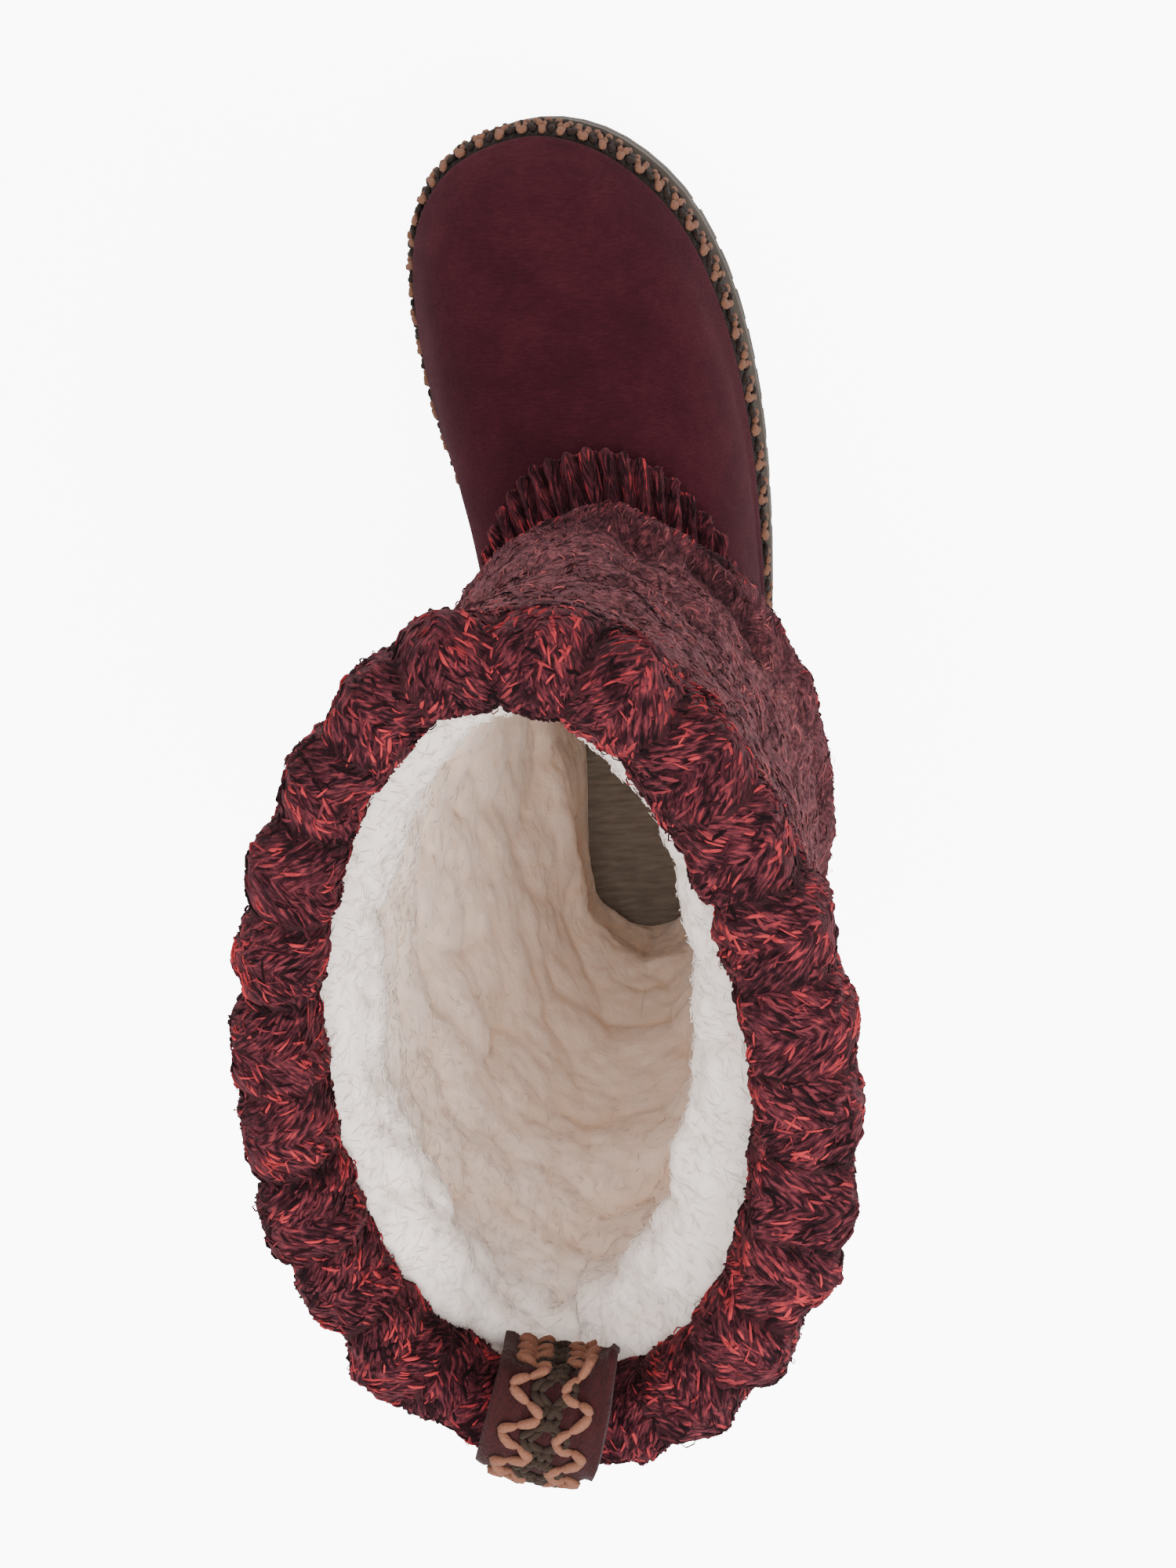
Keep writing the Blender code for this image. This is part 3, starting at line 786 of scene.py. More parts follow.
@dataclass(frozen=True)
class MarledYarn:
    """Bulky spun yarn, knitted: a dark ground, with flecks of red that run with the stitches, and painted shade in
    its troughs.
    """

    # Colour of the painted shade in the knit's troughs, seams, folds and creases
    furrow: str = "#0C0608"

    def material(self) -> bpy.types.Material:
        """Builds the nodes.

        Returns:
            The material.
        """
        make = Nodes("marled bulky yarn")
        solid = make.add("TexCoord", "Object", {}, {})
        haze = make.add("Attribute", "Fac", {"attribute_name": "haze"}, {})
        deep = make.add("Attribute", "Fac", {"attribute_name": "deep"}, {})
        place = make.add("UVMap", "UV", STRAND, {})
        # Flecks of 3.3 by 0.9 mm on the rim, specks of 1.6 mm on the felted body, clouds of 6 mm
        place = make.add("Mapping", "Vector", {}, {"Vector": place, "Scale": (300.0, 1150.0, 1.0)})
        fleck = make.add("TexNoise", "Fac", {}, {"Vector": place, "Scale": 1.0, "Detail": 2.0, "Roughness": 0.6})
        speck = make.add("TexNoise", "Fac", {}, {"Vector": solid, "Scale": 640.0, "Detail": 2.0, "Roughness": 0.6})
        cloud = make.add("TexNoise", "Fac", {}, {"Vector": solid, "Scale": 170.0, "Detail": 2.0, "Roughness": 0.6})
        felted = make.add("Math", 0, TIMES, {0: haze, 1: 0.75})
        grain = make.add("Mix", 2, COLOURS, {0: felted, 6: fleck, 7: speck})
        level = make.add("Math", 0, TIMES_PLUS, {0: cloud, 1: 0.75, 2: -0.92})
        level = make.add("Math", 0, TIMES_PLUS, {0: grain, 1: 1.9, 2: level})
        bright = make.add("ValToRGB", "Color", {"stops": RIM_YARN}, {"Fac": level})
        dull = make.add("ValToRGB", "Color", {"stops": BODY_YARN}, {"Fac": level})
        colour = make.add("Mix", 2, COLOURS, {0: haze, 6: bright, 7: dull})
        # Painted shade: the deep attribute pulls the yarn's colour towards the furrow colour
        painted_shade = make.add("Math", 0, TIMES, {0: deep, 1: 0.8})
        colour = make.add("Mix", 2, COLOURS, {0: painted_shade, 6: colour, 7: srgb(self.furrow)})
        normal = make.add("Bump", "Normal", {}, {"Height": grain, "Distance": 0.0011, "Strength": 0.9})
        fuzz = {"Sheen Weight": 0.16, "Sheen Roughness": 0.5, "Sheen Tint": srgb(YARN_SHEEN)}
        return make.finish({"Base Color": colour, "Normal": normal} | FIBROUS | fuzz)


@dataclass(frozen=True)
class LoosePly:
    """Loose plies of the marled yarn, each of one colour that its tint picks, so that the knit looks hairy; the tint
    holds painted shade too.
    """

    name: str
    stops: tuple

    def material(self) -> bpy.types.Material:
        """Builds the nodes.

        Returns:
            The material.
        """
        make = Nodes(self.name)
        tint = make.add("Attribute", "Fac", {"attribute_name": "tint"}, {})
        place = make.add("TexCoord", "Object", {}, {})
        # Blotches of 1.7 mm along a ply
        blotch = make.add("TexNoise", "Fac", {}, {"Vector": place, "Scale": 600.0, "Detail": 3.0, "Roughness": 0.6})
        blotch = make.add("Math", 0, TIMES_PLUS, {0: blotch, 1: 0.6, 2: -0.3})
        level = make.add("Math", 0, {"operation": "ADD"}, {0: tint, 1: blotch})
        colour = make.add("ValToRGB", "Color", {"stops": self.stops}, {"Fac": level})
        fuzz = {"Sheen Weight": 0.08, "Sheen Roughness": 0.5, "Sheen Tint": srgb(YARN_SHEEN)}
        return make.finish({"Base Color": colour} | FIBROUS | fuzz)


@dataclass(frozen=True)
class Suede:
    """Burgundy suede, buffed: a cloudy nap, brushed a little lighter here and there."""

    stops: tuple = ((0.30, "#220A10"), (0.50, "#2F0F16"), (0.64, "#38141B"), (0.85, "#461D25"))
    sheen: str = "#A0626A"

    def material(self) -> bpy.types.Material:
        """Builds the nodes.

        Returns:
            The material.
        """
        make = Nodes("burgundy suede")
        place = make.add("TexCoord", "Object", {}, {})
        # Clouds of 19 mm, nap of 3 by 0.5 mm
        cloud = make.add("TexNoise", "Fac", {}, {"Vector": place, "Scale": 52.0, "Detail": 5.0, "Roughness": 0.62})
        slim = make.add("Mapping", "Vector", {}, {"Vector": place, "Scale": (0.35, 2.2, 1.0)})
        nap = make.add("TexNoise", "Fac", {}, {"Vector": slim, "Scale": 900.0, "Detail": 3.0, "Roughness": 0.75})
        level = make.add("Math", 0, TIMES, {0: nap, 1: 0.5})
        level = make.add("Math", 0, TIMES_PLUS, {0: cloud, 1: 0.55, 2: level})
        colour = make.add("ValToRGB", "Color", {"stops": self.stops}, {"Fac": level})
        normal = make.add("Bump", "Normal", {}, {"Height": nap, "Distance": 0.0005, "Strength": 0.8})
        fuzz = {"Sheen Weight": 0.12, "Sheen Roughness": 0.4, "Sheen Tint": srgb(self.sheen)}
        return make.finish({"Base Color": colour, "Normal": normal} | FIBROUS | fuzz)


@dataclass(frozen=True)
class CurlyPile:
    """Deep curly pile of the lining: pale locks, with painted shade as a darker cream in the furrows and deeper down.

    The attribute depth holds the painted shade, from 0 on a lock to 1 in a furrow.
    """

    name: str
    pale: str
    depth: str
    # Colour of the painted shade in the furrows and deeper down
    dark: str = "#EBD1BA"

    def material(self) -> bpy.types.Material:
        """Builds the nodes.

        Returns:
            The material.
        """
        make = Nodes(self.name)
        deep = make.add("Attribute", "Fac", {"attribute_name": self.depth}, {})
        place = make.add("TexCoord", "Object", {}, {})
        # Curls of 4 mm
        curl = make.add("TexNoise", "Fac", {}, {"Vector": place, "Scale": 260.0, "Detail": 4.0, "Roughness": 0.62})
        shade = make.add("Math", 0, TIMES_PLUS, {0: curl, 1: 0.25, 2: -0.125})
        level = make.add("Math", 0, {"operation": "ADD"}, {0: deep, 1: shade})
        colour = make.add("ValToRGB", "Color", {"stops": ((0.05, self.pale), (0.9, self.dark))}, {"Fac": level})
        normal = make.add("Bump", "Normal", {}, {"Height": curl, "Distance": 0.0010, "Strength": 0.6})
        soft = {"Subsurface Weight": 0.30, "Subsurface Scale": 0.004, "Subsurface Radius": (1.0, 0.8, 0.7)}
        matt = {"Roughness": 0.95, "Specular IOR Level": 0.1, "Sheen Weight": 0.3, "Sheen Roughness": 0.5}
        return make.finish({"Base Color": colour, "Normal": normal} | matt | soft)


@dataclass(frozen=True)
class WovenRibbon:
    """Woven ribbon: cross threads on a plain field, with another colour where the attribute deep is 1."""

    name: str
    ground: str
    stripe: str

    def material(self) -> bpy.types.Material:
        """Builds the nodes.

        Returns:
            The material.
        """
        make = Nodes(self.name)
        place = make.add("UVMap", "UV", STRAND, {})
        # Threads of 0.7 by 1.7 mm
        place = make.add("Mapping", "Vector", {}, {"Vector": place, "Scale": (1500.0, 600.0, 1.0)})
        weave = make.add("TexNoise", "Fac", {}, {"Vector": place, "Scale": 1.0, "Detail": 2.0, "Roughness": 0.6})
        edge = make.add("Attribute", "Fac", {"attribute_name": "deep"}, {})
        field = make.add("Mix", 2, COLOURS, {0: weave, 6: srgb(self.ground), 7: srgb("#120C0A")})
        strip = make.add("Mix", 2, COLOURS, {0: weave, 6: srgb(self.stripe), 7: srgb("#1E0A0C")})
        colour = make.add("Mix", 2, COLOURS, {0: edge, 6: field, 7: strip})
        normal = make.add("Bump", "Normal", {}, {"Height": weave, "Distance": 0.0008, "Strength": 0.9})
        matt = {"Roughness": 0.9, "Specular IOR Level": 0.15, "Sheen Weight": 0.04}
        return make.finish({"Base Color": colour, "Normal": normal} | matt)


@dataclass(frozen=True)
class PliedYarn:
    """Plied embroidery yarn of one colour, with painted shade in the gaps between its fibres."""

    name: str
    code: str

    def material(self) -> bpy.types.Material:
        """Builds the nodes.

        Returns:
            The material.
        """
        make = Nodes(self.name)
        place = make.add("TexCoord", "Object", {}, {})
        # Fibres of 0.7 mm, as coarse as the render can show
        fibre = make.add("TexNoise", "Fac", {}, {"Vector": place, "Scale": 1400.0, "Detail": 3.0, "Roughness": 0.7})
        # Painted shade: the colour darkens towards #20120E where the fibre noise, and so the bump, is low
        dark = make.add("Mix", 2, COLOURS, {0: 0.55, 6: srgb(self.code), 7: srgb("#20120E")})
        colour = make.add("Mix", 2, COLOURS, {0: fibre, 6: dark, 7: srgb(self.code)})
        normal = make.add("Bump", "Normal", {}, {"Height": fibre, "Distance": 0.0005, "Strength": 0.8})
        matt = {"Roughness": 0.85, "Specular IOR Level": 0.2, "Sheen Weight": 0.04}
        return make.finish({"Base Color": colour, "Normal": normal} | matt)


@dataclass(frozen=True)
class FoamedRubber:
    """Taupe foamed rubber of the sole, moulded: matt, with fine pits."""

    stops: tuple = ((0.3, "#3F3831"), (0.7, "#524A42"))

    def material(self) -> bpy.types.Material:
        """Builds the nodes.

        Returns:
            The material.
        """
        make = Nodes("taupe foamed rubber")
        place = make.add("TexCoord", "Object", {}, {})
        # Pits of 1.4 mm, clouds of 17 mm
        pits = make.add("TexNoise", "Fac", {}, {"Vector": place, "Scale": 700.0, "Detail": 3.0, "Roughness": 0.6})
        cloud = make.add("TexNoise", "Fac", {}, {"Vector": place, "Scale": 60.0, "Detail": 3.0, "Roughness": 0.6})
        colour = make.add("ValToRGB", "Color", {"stops": self.stops}, {"Fac": cloud})
        normal = make.add("Bump", "Normal", {}, {"Height": pits, "Distance": 0.0003, "Strength": 0.6})
        return make.finish({"Base Color": colour, "Normal": normal, "Roughness": 0.75, "Specular IOR Level": 0.3})


@dataclass(frozen=True)
class SockCloth:
    """Grey woven cloth on the insole, finely ribbed across."""

    stops: tuple = ((0.3, "#6B6157"), (0.7, "#82786D"))

    def material(self) -> bpy.types.Material:
        """Builds the nodes.

        Returns:
            The material.
        """
        make = Nodes("grey sock cloth")
        place = make.add("TexCoord", "Object", {}, {})
        # Ribs of 1.3 mm
        place = make.add("Mapping", "Vector", {}, {"Vector": place, "Scale": (0.25, 1.6, 1.0)})
        rib = make.add("TexNoise", "Fac", {}, {"Vector": place, "Scale": 500.0, "Detail": 2.0, "Roughness": 0.6})
        colour = make.add("ValToRGB", "Color", {"stops": self.stops}, {"Fac": rib})
        normal = make.add("Bump", "Normal", {}, {"Height": rib, "Distance": 0.0004, "Strength": 0.7})
        return make.finish({"Base Color": colour, "Normal": normal, "Roughness": 0.95})


class Shape(Enum):
    """How a strand's thickness runs along it."""

    PLY = (0.35, 1.0, 0.9, 0.3)
    STITCH = (0.25, 0.85, 1.0, 1.0, 0.85, 0.25)
    WISP = (0.8, 0.6, 0.15)


def unit_grid(name: str, columns: int, rows: int) -> tuple[bpy.types.Mesh, np.ndarray, np.ndarray]:
    """A flat grid.

    Args:
        name: name of the mesh.
        columns: points across.
        rows: points up.

    Returns:
        The mesh, and the row and the column of each of its points.
    """
    mesh = bmesh.new()
    bmesh.ops.create_grid(mesh, x_segments=columns - 1, y_segments=rows - 1, size=0.5)
    data = bpy.data.meshes.new(name)
    mesh.to_mesh(data)
    mesh.free()
    flat = np.empty(len(data.vertices) * 3, np.float32)
    data.vertices.foreach_get("co", flat)
    flat = flat.reshape(-1, 3) + 0.5
    return data, np.rint(flat[:, 1] * (rows - 1)).astype(int), np.rint(flat[:, 0] * (columns - 1)).astype(int)


def weld(data: bpy.types.Mesh) -> None:
    """Merges the doubled points where a grid closes.

    Args:
        data: the mesh.
    """
    mesh = bmesh.new()
    mesh.from_mesh(data)
    bmesh.ops.remove_doubles(mesh, verts=mesh.verts, dist=WELD)
    mesh.to_mesh(data)
    mesh.free()


def give_wall(data: bpy.types.Mesh, thickness: float) -> None:
    """Gives a sheet a thickness.

    Args:
        data: the sheet's mesh.
        thickness: thickness in metres, below 0 for the other side.
    """
    mesh = bmesh.new()
    mesh.from_mesh(data)
    bmesh.ops.solidify(mesh, geom=mesh.faces, thickness=thickness)
    mesh.to_mesh(data)
    mesh.free()
    data.shade_smooth()


def set_attribute(data: bpy.types.Mesh, name: str, values: np.ndarray) -> None:
    """Stores a number for each point.

    Args:
        data: the mesh.
        name: name of the attribute.
        values: one number for each point.
    """
    attribute = data.attributes.new(name, "FLOAT", "POINT")
    attribute.data.foreach_set("value", values.astype(np.float32))


def grid_piece(
    name: str, points: np.ndarray, uv: np.ndarray, attributes: dict[str, np.ndarray], closed: bool,
    material: bpy.types.Material,
) -> bpy.types.Object:
    """A piece from a grid of points.

    Args:
        name: name of the piece.
        points: rows by columns of points. A closed grid has its first column once more at the end.
        uv: the same rows and columns of places on the material, in metres.
        attributes: name to a value for each point.
        closed: whether the last column is welded to the first.
        material: its material.

    Returns:
        The object.
    """
    data, row, column = unit_grid(name, points.shape[1], points.shape[0])
    data.vertices.foreach_set("co", points[row, column].astype(np.float32).ravel())
    corners = np.empty(len(data.loops), np.int32)
    data.loops.foreach_get("vertex_index", corners)
    layer = data.uv_layers.new(name="strand")
    layer.uv.foreach_set("vector", uv[row, column][corners].astype(np.float32).ravel())
    for key, values in attributes.items():
        set_attribute(data, key, values[row, column])
    if closed:
        weld(data)
    return piece(name, data, material)


def piece(name: str, data: bpy.types.Mesh, material: bpy.types.Material) -> bpy.types.Object:
    """Places a mesh as a piece that rides on the boot.

    Args:
        name: name of the piece.
        data: its mesh.
        material: its material.

    Returns:
        The object.
    """
    data.materials.append(material)
    data.shade_smooth()
    made = bpy.data.objects.new(name, data)
    bpy.context.scene.collection.objects.link(made)
    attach(made, "root")
    LOG.info("%s: %d triangles", name, sum(len(face.vertices) - 2 for face in data.polygons))
    return made


def strands(
    name: str, paths: np.ndarray, ups: np.ndarray, radii: np.ndarray, shape: Shape, sides: int, tints: np.ndarray,
    material: bpy.types.Material,
) -> bpy.types.Object:
    """Many short tubes as one piece.

    Args:
        name: name of the piece.
        paths: strands by points of each strand.
        ups: a direction off the surface for each point.
        radii: thickness of each strand.
        shape: how the thickness runs along it.
        sides: corners of a tube's section. A tube of three corners isn't welded.
        tints: one value for each strand.
        material: its material.

    Returns:
        The object.
    """
    count, steps = paths.shape[:2]
    tangent = np.gradient(paths, axis=1)
    side = np.cross(tangent, ups)
    side /= np.maximum(np.linalg.norm(side, axis=2, keepdims=True), TINY)
    up = np.cross(side, tangent)
    up /= np.maximum(np.linalg.norm(up, axis=2, keepdims=True), TINY)
    angle = TAU * np.arange(sides + 1) / sides
    thick = radii[:, None, None, None] * np.array(shape.value)[None, :, None, None]
    rings = side[:, :, None] * np.cos(angle)[:, None] + up[:, :, None] * np.sin(angle)[:, None]
    points = paths[:, :, None] + rings * thick
    template, row, column = unit_grid(name + "_one", sides + 1, steps)
    mesh = bmesh.new()
    for _ in range(count):
        mesh.from_mesh(template)
    data = bpy.data.meshes.new(name)
    mesh.to_mesh(data)
    mesh.free()
    bpy.data.meshes.remove(template)
    data.vertices.foreach_set("co", points[:, row, column].astype(np.float32).ravel())
    set_attribute(data, "tint", np.repeat(tints, len(row)))
    if sides > 3:
        weld(data)
    return piece(name, data, material)


def closing(grid: np.ndarray) -> np.ndarray:
    """Repeats the first column at the end, so that a grid closes.

    Args:
        grid: rows by columns of anything.

    Returns:
        The wider grid.
    """
    return np.concatenate([grid, grid[:, :1]], axis=1)


def chevron(surface: Surface, pitch: int, slant: float) -> np.ndarray:
    """Places on the material that follow stitches, which slant to both sides of each column, in metres.

    Args:
        surface: the surface.
        pitch: number of stitch columns round it.
        slant: angle of a stitch to its column.

    Returns:
        Place along and across the strands, for the closed grid.
    """
    count = surface.points.shape[1]
    turn = np.arange(count + 1) / count
    across = (turn * pitch) % 1 - 0.5
    width = surface.girths()[:, None] / pitch
    aside = np.abs(across) * width
    number = np.floor(turn * pitch)
    along = surface.lengths()[:, None] + 0.31 * number
    u = along * math.cos(slant) + aside * math.sin(slant)
    v = aside * math.cos(slant) - surface.lengths()[:, None] * math.sin(slant) + 0.017 * number
    return np.stack([u, v], axis=-1)


@dataclass(frozen=True)
class Plies:
    """How loose plies lie: slant to the column and its spread in degrees, and sizes in metres.

    tint holds the two shape numbers of the tints' spread, and clusters how much neighbours share a tint.
    """

    slant: float
    spread: float
    length: tuple
    radius: tuple
    lift: float
    tint: tuple
    clusters: float


RIM_PLIES = Plies(32, 26, (0.0024, 0.0054), (0.00020, 0.00056), 0.0005, (1.50, 1.60), 0.45)
BAND_PLIES = Plies(6, 16, (0.0024, 0.0050), (0.00020, 0.00048), 0.0004, (1.4, 1.5), 0.30)
BODY_PLIES = Plies(20, 50, (0.0020, 0.0048), (0.00014, 0.00036), 0.0006, (1.7, 2.0), 0.35)


@dataclass
class KnitShaft:
    """Slack knitted shaft: ribbed band, folds, and a rim of cable columns rolled in over the fleece."""

    columns: int = 480
    rows: int = 200
    ribs: int = 48
    rib_height: float = 0.0015
    seam_depth: float = 0.0013
    rim_shrink: float = 0.0010
    crease_gain: float = 1.4
    crease_shade: float = 260.0
    cable_slant: float = math.radians(38)
    band_share: float = 0.10
    rim_share: float = 0.66
    rim_strands: int = 11000
    band_strands: int = 3000
    body_strands: int = 6400

    def rings(self, foot: FootForm) -> list[np.ndarray]:
        """Rings of the knit's outer face, from the band up over the rim and down inside.

        Args:
            foot: the foot's form.

        Returns:
            List of rings.
        """
        n = self.columns
        turn = np.arange(n) / n
        back = np.abs(np.sin(math.pi * turn * CABLE_COUNT)) ** 1.1 - 1
        pressed = under_loop(shaft_ring(ROLL, n))

        def relief(share: float) -> np.ndarray:
            """Cables at a share of their height, and the dent under the loop."""
            return CABLE_RELIEF * share * back * (1 - pressed) - LOOP_DENT * pressed

        wall = KNIT + CLEARANCE
        thick = RIM_KNIT + CLEARANCE
        inner = -(FLEECE_SHAFT + CLEARANCE)
        turned = inner - KNIT - RIM_LEAN * np.clip(np.sin(TAU * turn), 0, None)
        made = [
            foot.above_trim(BAND_EDGE, CLEARANCE),
            foot.above_trim(BAND_EDGE - 0.01, KNIT * 0.75),
            foot.above_trim(BAND_EDGE + 0.06, wall),
            foot.above_trim(0.985, wall),
        ]
        body = (CREASE, TUCK, SLOUCH, ANKLE, CALF, MIDDLE, UPPER)
        made += [shaft_ring(level, n, wall + looseness(level, n)) for level in body]
        made += [
            shaft_ring(NECK, n, thick + relief(0.7)),
            shaft_ring(ROLL, n, thick + relief(1.0)),
            shaft_ring(RIM, n, thick * 0.55 + relief(0.9), -RIM_KNIT / 2),
            shaft_ring(RIM, n, (thick + inner) / 2 + CABLE_RELIEF * 0.4 * back),
            shaft_ring(RIM, n, turned + KNIT / 3, -RIM_KNIT / 2),
            shaft_ring(RIM, n, turned, -RIM_TURN_IN * 0.7),
            shaft_ring(RIM, n, inner, -RIM_TURN_IN),
        ]
        return made

    def build(self, foot: FootForm) -> bpy.types.Object:
        """Makes the knit's wall and its plies.

        Args:
            foot: the foot's form.

        Returns:
            The wall, which stands for the CAD node.
        """
        surface = Surface.through(self.rings(foot), self.rows)
        share, turn = surface.shares(), surface.turns()
        band = ease((self.band_share - share) / 0.025) * ease((share - 0.004) / 0.01)
        rib = 0.5 + 0.5 * np.cos(TAU * self.ribs * turn)
        rim = ease((share - self.rim_share) / 0.05)
        seam = np.exp(-((((turn * CABLE_COUNT + 0.5) % 1 - 0.5) / 0.11) ** 2))
        height = self.rib_height * band * (2 * rib - 1.2) - self.rim_shrink * rim
        height = height - self.seam_depth * rim * seam * (0.7 + 0.5 * soft_noise(surface.points, 0.030, 5))
        height = height + 0.0016 * soft_noise(surface.points, 0.016, 1) * ease((share - 0.10) / 0.05)
        height = height + 0.0009 * soft_noise(surface.points, 0.0055, 2)
        height = height + 0.0014 * rim * soft_noise(surface.points, 0.009, 7)
        folded = sum(crease.depth * crease.nearness(surface) for crease in SHAFT_CREASES)
        surface.push(height - self.crease_gain * folded)
        lumpy = lumps(surface.points * (1.0, 1.0, 0.6), 0.0042, 3)
        surface.push(0.0009 * (lumpy - 0.6))
        # Painted shade, kept as deep: darker in the seams between cable columns, in the rib troughs of the band and
        # between the lumps
        deep = np.clip(rim * seam * 0.75 + band * (1 - rib) * 0.85 + 0.6 * (0.5 - lumpy), 0, 1)
        haze = ease((share - 0.14) / 0.09) * ease((self.rim_share + 0.02 - share) / 0.07) + 0 * turn
        # More painted shade along the front fold, and in the creases through crease_shade
        fold = np.exp(-(((share - 0.125) / 0.018) ** 2)) * ease((0.26 - np.abs(turn - 0.47)) / 0.1)
        deep = np.clip(deep + 0.8 * fold + self.crease_shade * folded, 0, 1)
        places = chevron(surface, CABLE_COUNT, self.cable_slant)
        fields = {"deep": closing(deep), "haze": closing(haze)}
        yarn = MarledYarn().material()
        made = grid_piece("knit_wall", closing(surface.points), places, fields, True, yarn)
        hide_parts("knit_shaft")
        bright = LoosePly("marled yarn plies", RIM_YARN).material()
        felted = LoosePly("felted yarn plies", BODY_YARN).material()
        edge = self.rim_share
        self.lay_plies("knit_rim_plies", surface, deep, self.rim_strands, (edge - 0.03, 0.985), RIM_PLIES, bright)
        self.lay_plies("knit_band_plies", surface, deep, self.band_strands, (0.004, 0.17), BAND_PLIES, bright)
        self.lay_plies("knit_body_plies", surface, deep, self.body_strands, (0.15, edge), BODY_PLIES, felted)
        return made

    def lay_plies(
        self, name: str, surface: Surface, deep: np.ndarray, count: int, span: tuple[float, float], look: Plies,
        material: bpy.types.Material,
    ) -> None:
        """Lays loose plies on the wall, slanting to both sides of each column.

        Args:
            name: name of the piece.
            surface: the wall's surface.
            deep: painted shade of each point of the wall, from 0 to 1.
            count: number of plies.
            span: lowest and highest place, as shares of the rows.
            look: how the plies lie.
            material: the plies' material.
        """
        chance = np.random.default_rng(len(name) + count)
        turn = chance.random(count)
        share = span[0] + (span[1] - span[0]) * chance.random(count)
        length = chance.uniform(*look.length, count)
        side = np.sign((turn * CABLE_COUNT) % 1 - 0.5)
        angle = np.radians(side * look.slant + chance.normal(0, look.spread, count))
        steps = np.array([-0.5, -0.2, 0.2, 0.5])
        points, ups = surface.lines(turn, share, length * np.sin(angle), length * np.cos(angle), steps, 0.002)
        stray = chance.random(count) > 0.94
        lift = (chance.uniform(0, look.lift, count) * (1 + 1.6 * stray))[:, None] * np.array([0, 1, 1, 0]) - 0.0001
        middle = points[:, 1:3].mean(axis=1)
        points = points + ups * lift[..., None]
        radii = chance.uniform(*look.radius, count) * (1 - 0.5 * stray)
        tints = chance.beta(*look.tint, count) + look.clusters * soft_noise(middle, 0.0060, 8)
        # Painted shade: plies that lie in seams, troughs, folds and creases get darker tints
        tints = np.clip(tints - 0.40 * nearest(deep, turn, share), 0, 1)
        strands(name, points, ups, radii, Shape.PLY, 3, tints, material)


